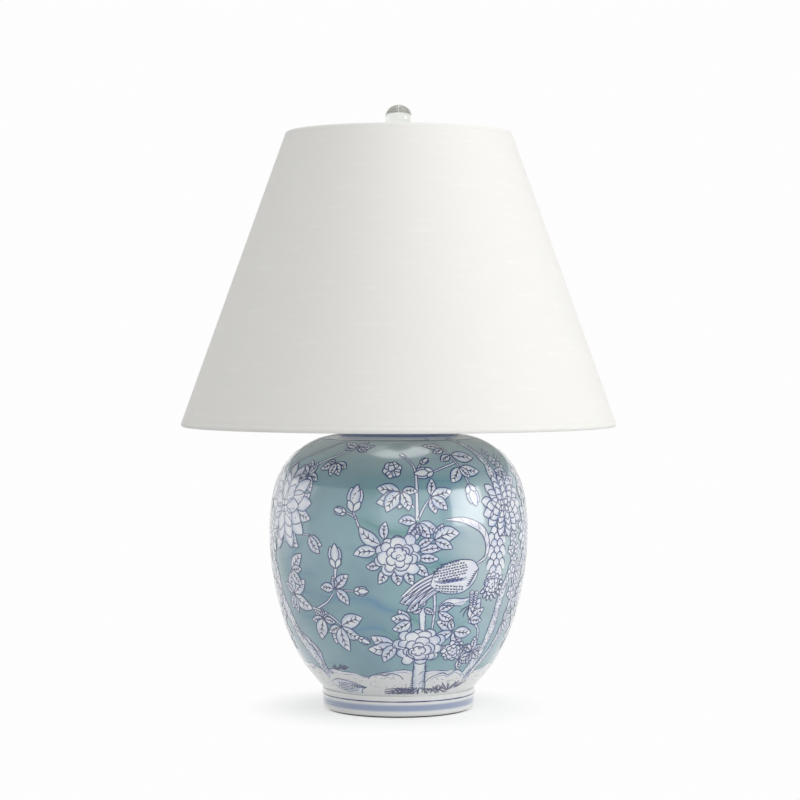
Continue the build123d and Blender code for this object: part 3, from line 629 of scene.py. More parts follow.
def spaced(points, step):
    """A smooth curve through the points, as points a step apart."""
    points = np.asarray(points, float)
    if len(points) > 2:
        slopes = np.gradient(points, axis=0)
        t = np.linspace(0, 1, 9)[:-1, None]
        spans = [(1 + 2 * t) * (1 - t) ** 2 * a + t * t * (3 - 2 * t) * b
                 + t * (1 - t) ** 2 * u + t * t * (t - 1) * v
                 for a, b, u, v in zip(points[:-1], points[1:], slopes[:-1], slopes[1:])]
        points = np.vstack([*spans, points[-1:]])
    along = np.concatenate([[0], np.cumsum(np.linalg.norm(np.diff(points, axis=0), axis=1))])
    count = max(3, int(round(along[-1] / step)) + 1)
    stops = np.linspace(0, along[-1], count)
    return np.column_stack([np.interp(stops, along, points[:, i]) for i in (0, 1)])


def beside(points):
    """Unit vectors square to a line, at each of its points."""
    heading = np.gradient(points, axis=0)
    heading /= np.maximum(np.linalg.norm(heading, axis=1, keepdims=True), 1e-9)
    return np.column_stack([-heading[:, 1], heading[:, 0]])


def paired(one, other):
    """Two edges of a patch, thinned out to as many points each."""
    count = min(len(one), len(other))
    return [line[np.linspace(0, len(line) - 1, count).round().astype(int)] for line in (one, other)]


def turned_by(degrees, points):
    """Points turned about the middle, always as rows."""
    c, s = math.cos(math.radians(degrees)), math.sin(math.radians(degrees))
    points = np.atleast_2d(points)
    return np.column_stack([points[:, 0] * c - points[:, 1] * s, points[:, 0] * s + points[:, 1] * c])


class Brush:
    """Draws around one place on the jar, in millimetres to the right and up."""

    def __init__(self, turn, height, flip=1, layer=0):
        self.turn, self.along = math.radians(turn), side.along_at(height * MM)
        self.flip, self.layer = flip, layer

    def onto_jar(self, points):
        """Turns round the jar and distances up its side."""
        points = np.asarray(points, float) * MM
        alongs = self.along + points[:, 1]
        return self.turn + self.flip * points[:, 0] / side.radius_at(np.maximum(alongs, 0)), alongs

    def line(self, path, half, tone, layer):
        """Cobalt along a path; half is half its width at each of its points."""
        off = beside(path) * half[:, None]
        turns, alongs = zip(self.onto_jar(path + off), self.onto_jar(path - off))
        lines.add(np.array(turns), np.array(alongs), tone, layer)

    def stroke(self, points, width, tone, taper=0.45, layer=None):
        """A brush stroke, widest at its middle; taper is the share of width left at its ends."""
        path = spaced(points, LINE_STEP)
        share = np.linspace(0, 1, len(path))
        swell = np.sin(math.pi * np.clip(share, 0.02, 0.98)) ** 0.6
        half = width / 2 * (taper + (1 - taper) * swell)
        self.line(path, half, tone, (self.layer if layer is None else layer) + 0.5)

    def dab(self, at, heading, length, width, tone):
        """A short mark that starts full and ends in a point."""
        tip = np.asarray(at) + turned_by(heading, (length, 0))[0]
        middle = (np.asarray(at) * 0.6 + tip * 0.4)
        path = np.array([at, middle, tip])
        half = np.array([0.5, 0.55, 0.12]) * width
        self.line(path, half, tone, self.layer + 0.6)

    def wash(self, one, other, bleed=(0.9, 0.9), rows=None, layer=None):
        """White between two edges with as many points each; bleed is how blue each edge gets."""
        one, other = np.asarray(one, float), np.asarray(other, float)
        widest = np.linalg.norm(one - other, axis=1).max()
        rows = rows or max(3, int(widest / WASH_STEP) + 2)
        shares = np.linspace(0, 1, rows)
        grid = [self.onto_jar(one * (1 - s) + other * s) for s in shares]
        turns, alongs = np.array([g[0] for g in grid]), np.array([g[1] for g in grid])
        edge = np.maximum(bleed[0] * (1 - shares * 2), abs(bleed[1]) * (shares * 2 - 1)).clip(0, 1)
        edge = np.where((shares > 0.2) & (bleed[1] < 0), -1.0, edge)
        washes.add(turns, alongs, edge[:, None], self.layer if layer is None else layer)

    def band(self, path, off, width, tone, taper, **wash):
        """White between two outlines that run beside a path."""
        self.wash(path + off, path - off, **wash)
        for edge in (path + off, path - off):
            self.stroke(edge, width, tone, taper=taper)


# ---- Leaves, buds and blossoms: base at a point, pointing where the heading says
def blade(length, width, curl, full=0.85, points=9):
    """Spine and both edges of a leaf or petal that points along x; full moves its widest place."""
    t = np.linspace(0, 1, points)
    spine = np.column_stack([t * length, curl * length * np.sin(math.pi * t) * 0.5])
    half = width / 2 * np.sin(math.pi * t ** full) ** 0.85
    off = beside(spine) * half[:, None]
    return spine, spine + off, spine - off


def leaf(brush, base, heading, length, width, layer):
    """A pointed leaf: white wash, outline, dark midrib and side veins."""
    curl = chance.uniform(-0.22, 0.22)
    brush.layer += layer
    spine, left, right = (turned_by(heading, line) + base for line in blade(length, width, curl))
    brush.wash(left, right)
    brush.stroke(left, 1.15, 0.15, taper=0.6)
    brush.stroke(right, 1.2, 0.15, taper=0.6)
    brush.stroke(spine[:-2], 1.15, 0.0, taper=0.35)
    for number in range(3):
        row = 2 + number * (len(spine) - 4) / 3
        at = np.array([np.interp(row, range(len(spine)), spine[:, i]) for i in (0, 1)])
        reach = math.sin(math.pi * row / (len(spine) - 1)) * width * 0.4
        for way in (1, -1):
            brush.dab(at, heading + way * chance.uniform(32, 48), reach, 0.95, 0.0)
    brush.layer -= layer


def petal(brush, base, heading, length, width, tone=0.2, weight=1.1, layer=0, ribs=0):
    """A round-ended petal with an outline and, if asked, fine ribs."""
    brush.layer += layer
    spine, left, right = (turned_by(heading, line) + base for line in blade(length, width, 0.0, 1.25, 8))
    brush.wash(left, right)
    outline = np.vstack([left, right[-2::-1]])
    brush.stroke(outline, weight, tone, taper=0.7)
    for rib in range(ribs):
        spread = (rib + 1) / (ribs + 1) * 2 - 1
        path = spine[1:-2] + (left[1:-2] - spine[1:-2]) * spread
        brush.stroke(path, 0.5, 0.55)
    brush.layer -= layer


def leaves(brush, fans):
    """A spray of leaves from one point, each (heading, length); neighbours lie in different layers."""
    for number, (heading, length) in enumerate(fans):
        start = turned_by(heading, (1.2, 0))[0]
        leaf(brush, start, heading, length, length * chance.uniform(0.5, 0.62), layer=number % 3)
    brush.dab((0, 0), fans[0][0], 2.0, 1.6, 0.0)


def bud(brush, heading, length):
    """A closed bud: three petals in a small calyx."""
    for spread, share, above in ((13, 0.9, 0), (-13, 0.86, 1), (0, 1.0, 2)):
        petal(brush, (0, 0), heading + spread, length * share, length * 0.38, layer=above)
    for spread in (30, -30):
        petal(brush, (0, 0), heading + spread, length * 0.46, length * 0.24, layer=3, tone=0.15)


def scallop(reach, count, turn, depth, squash):
    """A closed ring of rounded petal ends, and the angle of each notch between them."""
    notches = turn + (np.arange(count) + chance.uniform(-0.16, 0.16, count)) * 2 * math.pi / count
    ends = np.append(notches[1:], notches[0] + 2 * math.pi)
    ring = []
    for start, end in zip(notches, ends):
        scale = reach * (1 + chance.uniform(-0.11, 0.11))
        share = np.linspace(0, 1, SCALLOP_POINTS + 1)[:-1]
        angle = start + (end - start) * share
        distance = scale * (1 - depth + depth * np.sin(math.pi * share) ** 0.55)
        ring.append(np.column_stack([distance * np.cos(angle), distance * np.sin(angle) * squash]))
    ring = np.vstack(ring)
    return np.vstack([ring, ring[:1]]), notches


def peony(brush, reach, rings=4, squash=0.9):
    """A full double blossom: rings of rounded petals, each ring over the one outside it."""
    for ring in range(rings):
        size = reach * (1 - ring / (rings + 0.45))
        count = max(4, 9 - 2 * ring + chance.integers(0, 2))
        turn, depth = chance.uniform(0, 6), 0.22 + 0.08 * ring / rings
        outline, notches = scallop(size, count, turn, depth, squash)
        centre = chance.uniform(-0.05, 0.05, 2) * reach * ring + (0, -0.02 * reach * ring)
        inner = outline * (0.0 if ring == rings - 1 else 0.42) + centre
        brush.wash(outline + centre, inner, bleed=(0.8, 0.45), rows=5, layer=brush.layer + ring)
        for start in range(0, len(outline) - 1, SCALLOP_POINTS):
            lobe = outline[start:start + SCALLOP_POINTS + 1] + centre
            brush.stroke(lobe, 1.15, 0.15, taper=0.6, layer=brush.layer + ring)
        for notch in notches:
            way = np.array([math.cos(notch), math.sin(notch) * squash]) * size
            curve = np.array([0.78, 0.66, 0.5])[:, None] * way
            curve[1:] += turned_by(90, way)[0] * np.array([[0.05], [0.12]]) * chance.choice([-1, 1])
            brush.stroke(curve + centre, 0.85, 0.25, layer=brush.layer + ring)
    swirl = [(math.cos(a) * reach * 0.13 * (1 - a / 9),
              math.sin(a) * reach * 0.1 * (1 - a / 9) - 0.06 * reach) for a in np.linspace(0, 7, 9)]
    brush.stroke(swirl, 0.8, 0.1, layer=brush.layer + rings)


def many_petals(brush, width, height, ring_count=4):
    """A blossom of long oval petals in rings, those nearer the middle over those further out."""
    bold = 4 / ring_count
    for ring in range(ring_count):
        share = 1 - ring / ring_count
        count = 5 + int(round(8 * share / bold))
        for number in range(count):
            angle = (number + 0.5 * (ring % 2)) * 2 * math.pi / count + chance.uniform(-0.1, 0.1)
            out = 0.5 * (share - 0.36)
            base = (math.cos(angle) * width * out, math.sin(angle) * height * out)
            heading = math.degrees(math.atan2(math.sin(angle) * height, math.cos(angle) * width))
            petal(brush, base, heading, (width + height) * 0.18 * bold, width * 0.21 * bold,
                  layer=ring + 0.5 * (number % 2), tone=0.15)
    for number in range(4):
        petal(brush, (0, 0), 45 + number * 90, width * 0.15, width * 0.13, layer=ring_count)


def small_flower(brush, reach):
    """An open blossom of five round petals."""
    headings = chance.uniform(0, 90) + np.arange(5) * 72
    for number, heading in enumerate(headings):
        petal(brush, (0, 0), heading, reach, reach * 0.75, layer=0.5 * (number % 2), weight=0.8)
    for heading in headings:
        brush.dab((0, 0), heading + 30, reach * 0.3, 0.7, 0.0)


# ---- Stems and trunks run through places given as (turn, height)
class Route(Brush):
    """A brush whose points are places on the jar, moved to millimetres about their middle."""

    def __init__(self, places, flip, turn, layer):
        middle = len(places) // 2
        super().__init__(turn + flip * places[middle][0], places[middle][1], flip=flip, layer=layer)
        radius = side.radius_at(self.along) / MM
        self.path = np.array([(math.radians(t - places[middle][0]) * radius,
                               (side.along_at(h * MM) - self.along) / MM) for t, h in places])

    def onto_jar(self, points):
        """Across is measured at the middle's radius, so that places keep their turn."""
        radius = side.radius_at(self.along)
        return self.turn + self.flip * points[:, 0] * MM / radius, self.along + points[:, 1] * MM


def stem(places, width, flip, turn, hairs):
    """A double-line stem with white between its lines."""
    brush = Route(places, flip, turn, STEM_LAYER)
    path = spaced(brush.path, 3.0)
    share = np.linspace(0, 1, len(path))
    off = beside(path) * (width / 2 * (1 - 0.35 * share))[:, None]
    brush.band(path, off, 0.85, 0.3, 0.8, rows=3)
    for at in np.linspace(0.06, 0.94, hairs):
        row = int(at * (len(path) - 1))
        for way in (1, -1):
            heading = math.degrees(math.atan2(*(off[row] * way)[::-1]))
            brush.dab(path[row] + off[row] * way * 1.1, heading + 150, 1.6, 0.7, 0.15)


def trunk(places, width, flip, turn, layer=TRUNK_LAYER, marks=3, uneven=0.16):
    """A tree trunk: uneven outlines, knots and rows of bark strokes."""
    brush = Route(places, flip, turn, layer)
    path = spaced(brush.path, 3.2)
    share = np.linspace(0, 1, len(path))
    sway = 1 + uneven * np.sin(share * 23 + places[0][1]) + chance.uniform(-0.07, 0.07, len(path))
    off = beside(path) * (width / 2 * sway * (0.8 + 0.35 * share))[:, None]
    brush.band(path, off, 1.1, 0.2, 0.8)
    for row in range(1, len(path) - 1):
        heading = math.degrees(math.atan2(*(path[row + 1] - path[row])[::-1]))
        for _ in range(marks):
            across = chance.uniform(-0.85, 0.85)
            brush.dab(path[row] + off[row] * across, heading + chance.uniform(-25, 25),
                      chance.uniform(1.5, 3.4), 0.65, chance.uniform(0.0, 0.4))
        if row % 4 == 0:
            here, ahead = path[row], path[row + 1]
            knot = [here + off[row] * 0.9, here + off[row] * 0.3 + 1.2, ahead - off[row] * 0.1]
            brush.stroke(knot, 0.7, 0.25)


def scaled_column(brush, width, height, rows):
    """Rows of overlapping scales with their round ends up, drawn from the top down."""
    for row in range(rows):
        middle = height / 2 - (row + 0.5) * height / rows
        count = 2 + row % 2
        for number in range(count):
            across = (number - (count - 1) / 2) * width / 2.5
            angles = np.linspace(0, math.pi, 9)
            arch = np.column_stack([across + np.cos(angles) * width / 4.4,
                                    middle + np.sin(angles) * height / rows])
            foot = np.column_stack([arch[:, 0], np.full(9, middle - height / rows * 0.7)])
            brush.wash(arch, foot, bleed=(0.8, 0.2), layer=brush.layer + row * 0.5)
            brush.stroke(arch, 1.15, 0.1, taper=0.7, layer=brush.layer + row * 0.5)


def grass(brush, blades, length):
    """A tuft whose outer blades lean out."""
    for number in range(blades):
        heading = 90 + (number - (blades - 1) / 2) * 17 + chance.uniform(-6, 6)
        reach = length * chance.uniform(0.55, 1.0)
        tip = turned_by(heading, (reach, 0))[0]
        way = math.copysign(1.0, 90 - heading)
        lean = turned_by(heading - 90, (0, reach * 0.5))[0] + (way * 0.48, 0)
        brush.stroke([(0, 0), lean * 0.9, tip + (way * 1.2, -0.4)], 1.4, 0.0, taper=0.2)


def speckles(brush, centre, width, height, spacing=3.0, lean=0.0, tone=0.0):
    """Rows of small open scales over an oval patch."""
    for row in range(int(height / spacing / 0.85)):
        y = (row + 0.5) * spacing * 0.85 - height / 2
        reach = width / 2 * math.sqrt(max(0.0, 1 - (2 * y / height) ** 2))
        for x in np.arange(-reach + spacing * (0.2 + 0.5 * (row % 2)), reach - spacing * 0.3, spacing):
            at = turned_by(lean, (x, y))[0] + centre + chance.uniform(-0.3, 0.3, 2)
            brush.stroke(turned_by(lean, [(-0.9, 0.6), (0, -0.85), (0.9, 0.6)]) + at, 1.3, tone, taper=0.6)


def pheasant(brush):
    """A long-tailed bird seen from its side, its wing folded and its tail hanging to the left."""
    back = spaced([(-20, -8), (-16, 4), (-7, 11), (5, 15), (17, 15.5), (26, 13), (31, 6)], WASH_STEP)
    belly = spaced([(-20, -8), (-13, -14), (-1, -17), (12, -16.5), (21, -12), (28, -4), (31, 6)], WASH_STEP)
    back, belly = paired(back, belly)
    quills = (((-9, 4), (-47, -20)), ((-10, 1), (-46, -24)), ((-9, -2), (-43, -27)),
              ((-8, -5), (-37, -28)), ((-5, -8), (-29, -27)))
    for number, (start, tip) in enumerate(quills):
        start, tip = np.array(start, float), np.array(tip, float)
        spine = spaced([start, (start + tip) / 2 + (-1.5, 2.0), tip], 2.6)
        off = beside(spine) * (3.2 * np.sin(math.pi * np.linspace(0.12, 0.98, len(spine))) ** 0.5)[:, None]
        brush.wash(spine + off, spine - off, bleed=(1.0, 0.3), layer=brush.layer + number * 0.5)
        brush.stroke(spine + off, 1.2, 0.0, layer=brush.layer + number * 0.5)
        brush.stroke(spine - off, 1.0, 0.1, layer=brush.layer + number * 0.5)
        brush.stroke(spine + off * 0.2, 0.6, 0.7, layer=brush.layer + number * 0.5)
    brush.layer += 3
    brush.wash(back, belly, bleed=(0.45, 0.6))
    brush.stroke(back, 1.1, 0.15, taper=0.7)
    brush.stroke(belly, 1.0, 0.3, taper=0.7)
    speckles(brush, (1, 5.5), 38, 18, lean=10)
    speckles(brush, (0, -11.5), 32, 9, lean=-4)
    for number in range(5):
        start = np.array([17 - number * 4.2, -1.2 - 0.5 * number])
        feather = [start, start + (-8, -2.2), start + (-17, -0.6)]
        brush.stroke(feather, 1.0, 0.35)
        brush.stroke(np.array(feather) + (1.0, -1.3), 0.7, 0.75)
    for number in range(8):
        across = np.array([17 + number * 1.2, -10 + number * 1.9])
        brush.stroke([across, across + (3.4, 0.7), across + (5.4, 3.2)], 1.1, 0.1, taper=0.4)


def roots(brush, spread):
    """Bare roots that grip the ground."""
    for number in range(7):
        way = (number - 3) / 3
        start = np.array([way * 4.0, 2.0 - abs(way)])
        tip = np.array([way * spread, -5.0 - 4.5 * (1 - abs(way)) + chance.uniform(-1.5, 1.5)])
        brush.stroke([start, (start + tip) / 2 + (0, 1.6), tip], 1.9, 0.0, taper=0.35)
        for share in (0.35, 0.6, 0.8):
            at = start + (tip - start) * share
            heading = -90 if number == 3 else chance.uniform(-30, 30) - 70 * math.copysign(1, way)
            brush.dab(at, heading, chance.uniform(3, 6), 1.1, 0.0)


def rock(brush, width, height):
    """A low rock with a double outline and a few strokes of shade."""
    crest = np.array([(-0.5, 0), (-0.4, 0.55), (-0.16, 0.85), (0, 0.7), (0.2, 1), (0.42, 0.6), (0.5, 0)])
    top = spaced(crest * (width, height), WASH_STEP)
    brush.wash(top, np.column_stack([top[:, 0], np.full(len(top), -1.0)]), bleed=(0.5, -1.0))
    brush.stroke(top, 1.1, 0.2, taper=0.7)
    brush.stroke(top[2:-3] * (0.86, 0.8), 0.6, 0.5)
    for _ in range(9):
        at = (chance.uniform(-0.3, 0.3) * width, chance.uniform(0.1, 0.5) * height)
        brush.dab(at, chance.uniform(-20, 20), 1.6, 0.7, 0.2)


BANK_HEIGHT = 0.047


def ground():
    """The white bank all round the foot of the picture, under a wavy outline."""
    turns = np.linspace(0, 2 * math.pi, 181)
    waves = ((0.0024, 5, 0.6), (0.0016, 11, 2.0), (0.0008, 23, 0.0))
    crest = BANK_HEIGHT + sum(rise * np.sin(turns * count + start) for rise, count, start in waves)
    tops = side.along_at(crest)
    shares = np.linspace(0, 1, 11)
    alongs = side.along[0] + np.outer(shares, tops - side.along[0])
    bleed = np.broadcast_to(np.maximum(-1, shares * 8 - 7.4)[:, None], alongs.shape)
    washes.add(np.broadcast_to(turns, alongs.shape), alongs, bleed, GROUND_LAYER)
    fine = np.linspace(0, 2 * math.pi, 641)
    for drop, width, tone in ((0.0, 1.1, 0.15), (0.0031, 0.55, 0.6)):
        line = np.interp(fine, turns, tops) - drop * (0.8 + 0.5 * np.sin(fine * 7))
        half = width * MM / 2 * (0.65 + 0.35 * np.sin(fine * 31))
        lines.add(np.array([fine, fine]), np.array([line + half, line - half]), tone, GROUND_LAYER)
    for turn in range(0, 360, 6):
        brush = Brush(turn + chance.uniform(-2, 2), chance.uniform(27, 42), layer=GROUND_LAYER)
        for _ in range(3):
            brush.dab(chance.uniform(-5, 5, 2), chance.uniform(-15, 15), 1.1, 0.8, 0.1)


def border_line(on, height, width, tone):
    """A thin cobalt ring round the shoulder or the foot."""
    turns = np.linspace(0, 2 * math.pi, 361)
    middle = on.along_at(height)
    half = width / 2 * (0.9 + 0.12 * np.sin(turns * 9) + 0.08 * np.sin(turns * 23))
    lines.add(np.array([turns, turns]), np.array([middle + half, middle - half]), tone, 2, on)


# ---- The picture, drawn on the front and again, mirrored, on the back
class Picture:
    """One side of the jar: places are given as degrees off its middle and millimetres up."""

    def __init__(self, turn, flip):
        self.turn, self.flip = turn, flip

    def at(self, turn, height, layer=LEAF_LAYER):
        return Brush(self.turn + self.flip * turn, height, self.flip, layer)

    def stem(self, *places, width=2.6, hairs=0):
        stem(places, width, self.flip, self.turn, hairs)

    def trunk(self, *places, width=9.0, **looks):
        trunk(places, width, self.flip, self.turn, **looks)

    def spray(self, turn, height, *fans):
        leaves(self.at(turn, height), fans)

    def bud(self, turn, height, heading, length):
        bud(self.at(turn, height, BLOOM_LAYER), heading, length)

    def blossoms(self, *places):
        for turn, height, reach in places:
            small_flower(self.at(turn, height, BLOOM_LAYER), reach)


def middle_flowers(picture):
    """The large peony of the middle, its leaves, and the twigs and buds over it."""
    flower = picture.at(0, 163, LEAF_LAYER)
    around = (((-17, 10), 141, 27, 13), ((-21, 3), 188, 23, 12), ((-13, 15), 86, 17, 9),
              ((-17, -7), 196, 15, 9), ((-13, -12), 248, 17, 10), ((-4, -15), 286, 15, 11),
              ((8, -14), 292, 16, 10), ((16, -9), 318, 17, 10), ((19, -3), 356, 20, 9),
              ((20, 3), 8, 25, 9), ((18, 7), 27, 18, 8), ((12, 14), 64, 14, 9))
    for number, (base, heading, length, width) in enumerate(around):
        leaf(flower, base, heading, length, width, layer=number % 3)
    peony(picture.at(0, 163, BLOOM_LAYER), 23.5, rings=4)
    picture.stem((8.5, 172), (12, 176), (15, 178), width=2.2)
    picture.spray(15, 177, (58, 17), (12, 26), (-24, 20))

    picture.stem((8, 196), (8, 216), (8.2, 240), width=3.8)
    picture.stem((8.2, 238), (7, 247), (2, 256), width=2.2)
    picture.stem((8.2, 239), (10, 246), (12, 250), width=2.2)
    picture.stem((6.5, 208), (4, 215), (1, 222), width=2.4)
    picture.stem((8.5, 197), (11, 208), (14, 217), width=2.4)
    picture.stem((30, 249), (23, 245), (17, 241), width=2.6)
    picture.bud(4, 254, 138, 8)
    picture.bud(11, 248, 40, 11)
    picture.bud(17, 241, 186, 20)
    picture.spray(1, 223, (172, 22), (205, 25), (236, 23), (262, 16), (-2, 15), (292, 19))
    picture.spray(14, 218, (82, 17), (14, 22), (-38, 20), (-74, 16))
    picture.spray(8, 194, (178, 17), (232, 15), (282, 12), (-20, 21), (-52, 19))
    opened = picture.at(-3, 243, BLOOM_LAYER)
    for number, heading in enumerate((195, 255, 318, 20, 75, 128)):
        petal(opened, (0, 0), heading, 9.5, 10.0, layer=number * 0.5)
    petal(opened, (-3, -2), 60, 8, 7, layer=4)

    picture.stem((20, 271), (25, 266), (28.5, 256), (31, 245), (33, 234), (33.5, 229), width=2.6)
    picture.spray(26.5, 262, (166, 18), (208, 13))
    picture.spray(29, 256, (212, 14), (-12, 25))
    picture.spray(31, 245, (-14, 22), (232, 20), (-56, 14))
    picture.bud(33.2, 229, -74, 23)


def left_branches(picture):
    """The branch that comes in from the left: sprays, an oval blossom and hanging buds."""
    picture.stem((-76, 232), (-61, 250), (-47, 261), (-37, 269), width=3.0)
    picture.stem((-53, 236), (-41, 250), (-32, 257), (-24, 264), width=3.0)
    picture.spray(-33, 249, (-28, 14), (-62, 16), (-96, 15), (210, 17), (178, 9))
    picture.spray(-25, 263, (12, 15), (60, 12), (150, 16), (200, 12), (-30, 12))
    picture.spray(-48, 236, (-20, 15), (-58, 19), (68, 15), (104, 17), (150, 18), (196, 22), (226, 24),
                  (252, 21))
    many_petals(picture.at(-61, 206, BLOOM_LAYER), 52, 56, ring_count=3)
    picture.spray(-51, 210, (28, 19))
    picture.spray(-51, 200, (-14, 21))
    picture.spray(-55, 185, (-52, 22), (-88, 18), (-120, 15))
    picture.stem((-52, 189), (-47, 181), (-42, 179.5), width=2.0)
    picture.spray(-42, 180, (-30, 18), (-52, 21))
    picture.bud(-28, 149, 92, 24)
    picture.stem((-28, 150), (-28.5, 143), (-29, 135), width=3.4)
    picture.stem((-14.5, 178), (-17.5, 192), (-20, 205), width=2.6)
    picture.stem((-18, 197), (-21, 201), (-24, 203), width=2.0)
    picture.bud(-20, 203, 84, 27)
    picture.bud(-23, 202, 164, 14)

    picture.spray(-55, 145, (42, 23), (4, 16), (-44, 20), (-70, 14))
    picture.spray(-55, 121, (38, 24), (92, 20), (146, 16), (-28, 27), (-84, 18), (-118, 16))
    picture.stem((-43, 109), (-37, 106), (-32, 101), (-28, 94), width=2.8)
    picture.stem((-40, 109), (-34, 116), (-30, 125), width=2.4)
    picture.stem((-37, 101), (-34, 105), width=1.8)
    picture.spray(-29, 129, (44, 20), (-50, 19), (178, 16), (98, 12))
    picture.stem((-27, 128), (-24, 128), (-20, 128), width=2.0)
    picture.bud(-20, 128, 0, 15)
    picture.spray(-37.5, 100, (142, 12), (190, 15), (252, 23), (-16, 13), (88, 8))
    picture.spray(-28.5, 93, (22, 25), (-30, 22), (-78, 26), (-112, 20), (206, 15))
    picture.stem((-24, 88), (-22, 85), (-20, 82), width=1.8)
    picture.bud(-20, 82, -24, 13)
    picture.trunk((-76, 172), (-72, 145), (-69, 120), (-62, 88), (-53, 62), (-46, 40), width=12, marks=4)
    picture.trunk((-63, 88), (-54, 77), (-48, 68), (-47, 58), (-48, 42), width=5, marks=1)


def lower_flowers(picture):
    """The stems, the low peony and the leaves about them."""
    picture.stem((11, 112), (11, 102), (11.5, 88), width=7.0, hairs=7)
    picture.stem((15.5, 134), (16.5, 112), (16, 90), width=3.2, hairs=9)
    picture.spray(9, 119, (150, 15), (184, 17), (222, 14), (58, 13), (98, 14))
    picture.spray(6, 100, (140, 16), (172, 19), (206, 19), (246, 19))
    picture.spray(11, 112, (196, 11), (-28, 12), (78, 13))
    picture.spray(18, 108, (20, 17), (-22, 18))
    picture.spray(-1, 76, (160, 25), (190, 27), (238, 22))
    picture.spray(27, 88, (150, 21), (198, 22), (-6, 20), (-52, 18), (104, 13))
    picture.spray(27, 72, (196, 14), (-14, 17), (20, 14), (-66, 16))
    picture.spray(34, 60, (-24, 14), (20, 16), (64, 15), (-78, 13))
    picture.spray(41, 66, (24, 14), (92, 15), (150, 13), (-38, 15), (-86, 13))
    picture.trunk((11.5, 58), (12, 44), (13, 34), (14, 27), width=11.5, marks=0,
                  layer=GROUND_LAYER + 3, uneven=0.03)
    thorns = picture.at(12, 42, GROUND_LAYER + 4)
    for rise in range(-14, 14, 3):
        for way in (1, -1):
            thorns.dab((way * 5.0, rise), 90 - way * 60, 2.6, 1.1, 0.0)
    peony(picture.at(11, 74, BLOOM_LAYER), 25, rings=5, squash=0.82)
    peony(picture.at(29, 68, BLOOM_LAYER - 1), 12.5, rings=3)
    picture.stem((35, 97), (40, 92), (42.5, 84), (43, 66), width=2.8, hairs=6)
    picture.spray(35, 98, (64, 23), (34, 19), (-4, 15))


def bird(picture):
    """The pheasant on its stump, with its long plume over it."""
    pheasant(picture.at(23, 142, BLOOM_LAYER))
    plume = [(21, 196), (28, 195.5), (34, 191), (39, 184), (41.5, 172), (40.5, 159), (35, 152)]
    plume_brush = Route(plume, picture.flip, picture.turn, BLOOM_LAYER)
    path = spaced(plume_brush.path, 2.6)
    half = 0.8 + 2.7 * np.sin(math.pi * np.linspace(0, 1, len(path)) ** 0.8) ** 1.5
    off = beside(path) * half[:, None]
    plume_brush.band(path, off, 1.0, 0.15, 0.6, bleed=(0.4, 0.4))
    for row in range(5, len(path) - 5, 4):
        barb = [path[row] + off[row] * 0.9, path[row + 1], path[row + 2] - off[row] * 0.6]
        plume_brush.stroke(barb, 0.6, 0.35)

    legs = picture.at(34, 112, BLOOM_LAYER - 2)
    for base, heading, length in (((1, 16), -86, 16), ((7, 15), -96, 14)):
        for number, reach in enumerate(np.linspace(0, length, 7)[:-1]):
            at = np.asarray(base) + turned_by(heading, (reach, 0))[0]
            petal(legs, at, heading, 5.0, 5.2, layer=number * 0.3, weight=0.8, tone=0.1)
    for heading in (200, 232, 262, 300):
        toe = [(1, 1), turned_by(heading, (7, 0))[0], turned_by(heading + 12, (12, 0))[0]]
        legs.stroke(toe, 1.3, 0.05, taper=0.3)

    stump = picture.at(27, 112, LEAF_LAYER)
    top = spaced([(-11, 8), (-4, 9), (6, 8), (15, 9)], 2.5)
    foot = spaced([(-19, 1), (-10, 2), (2, 1), (13, 0)], 2.5)[:len(top)]
    foot = np.vstack([foot, foot[-1:].repeat(len(top) - len(foot), 0)])
    stump.wash(top, foot)
    stump.stroke(top, 1.0, 0.15)
    stump.stroke(foot, 1.0, 0.15)
    stump.stroke([(-11, 8), (-16, 4), (-19, 1)], 0.9, 0.15)
    for reach in range(-14, 14, 4):
        stump.dab((reach, 4 + 0.1 * reach), 4, 3.4, 0.6, 0.3)


def right_trees(picture):
    """The old tree on the right, with its oval blossom and hanging scales."""
    picture.trunk((38, 271), (44, 266), (48, 257), (50, 246), (50.5, 228), width=8.5, marks=4)
    many_petals(picture.at(54, 207, BLOOM_LAYER), 50, 44)
    for number in range(7):
        calyx = picture.at(49 + number * 1.5, 187, LEAF_LAYER + 1)
        petal(calyx, (0, 0), -90, 10, 4.2, tone=0.1, ribs=1)
    scaled_column(picture.at(47.5, 163, LEAF_LAYER), 21, 44, 7)
    curled = picture.at(46, 132, BLOOM_LAYER)
    peony(curled, 12.5, rings=3, squash=1.0)
    for number in range(9):
        angle = -150 + number * 22
        petal(curled, turned_by(angle, (8, 0))[0], angle, 9, 4, tone=0.0, layer=-1 + number % 2)
    picture.blossoms((60, 172, 6.875), (64, 163, 6.25), (58, 163, 5.625), (61, 153, 6.25), (60, 141, 7.5),
                     (62, 121, 7.5), (57, 249, 6.25), (60, 243, 6.875), (56, 238, 5.625),
                     (61, 234, 5.625), (64, 251, 5), (57, 257, 5), (66, 128, 5.625), (68, 110, 6.25))
    picture.trunk((61, 152), (56, 130), (53, 110), (52, 88), (49, 66), (43, 40), width=10, marks=4)
    picture.trunk((70, 140), (63, 104), (60, 78), (53, 54), (46, 36), width=5.5, marks=2)
    picture.spray(58, 183, (-6, 16), (40, 15), (-50, 16), (80, 13))
    picture.spray(59, 226, (-20, 16), (20, 18), (62, 16), (110, 14))
    picture.spray(63, 141, (12, 17), (-34, 16), (60, 14), (-80, 15))
    picture.spray(61, 92, (20, 17), (64, 15), (-40, 15), (-82, 16))


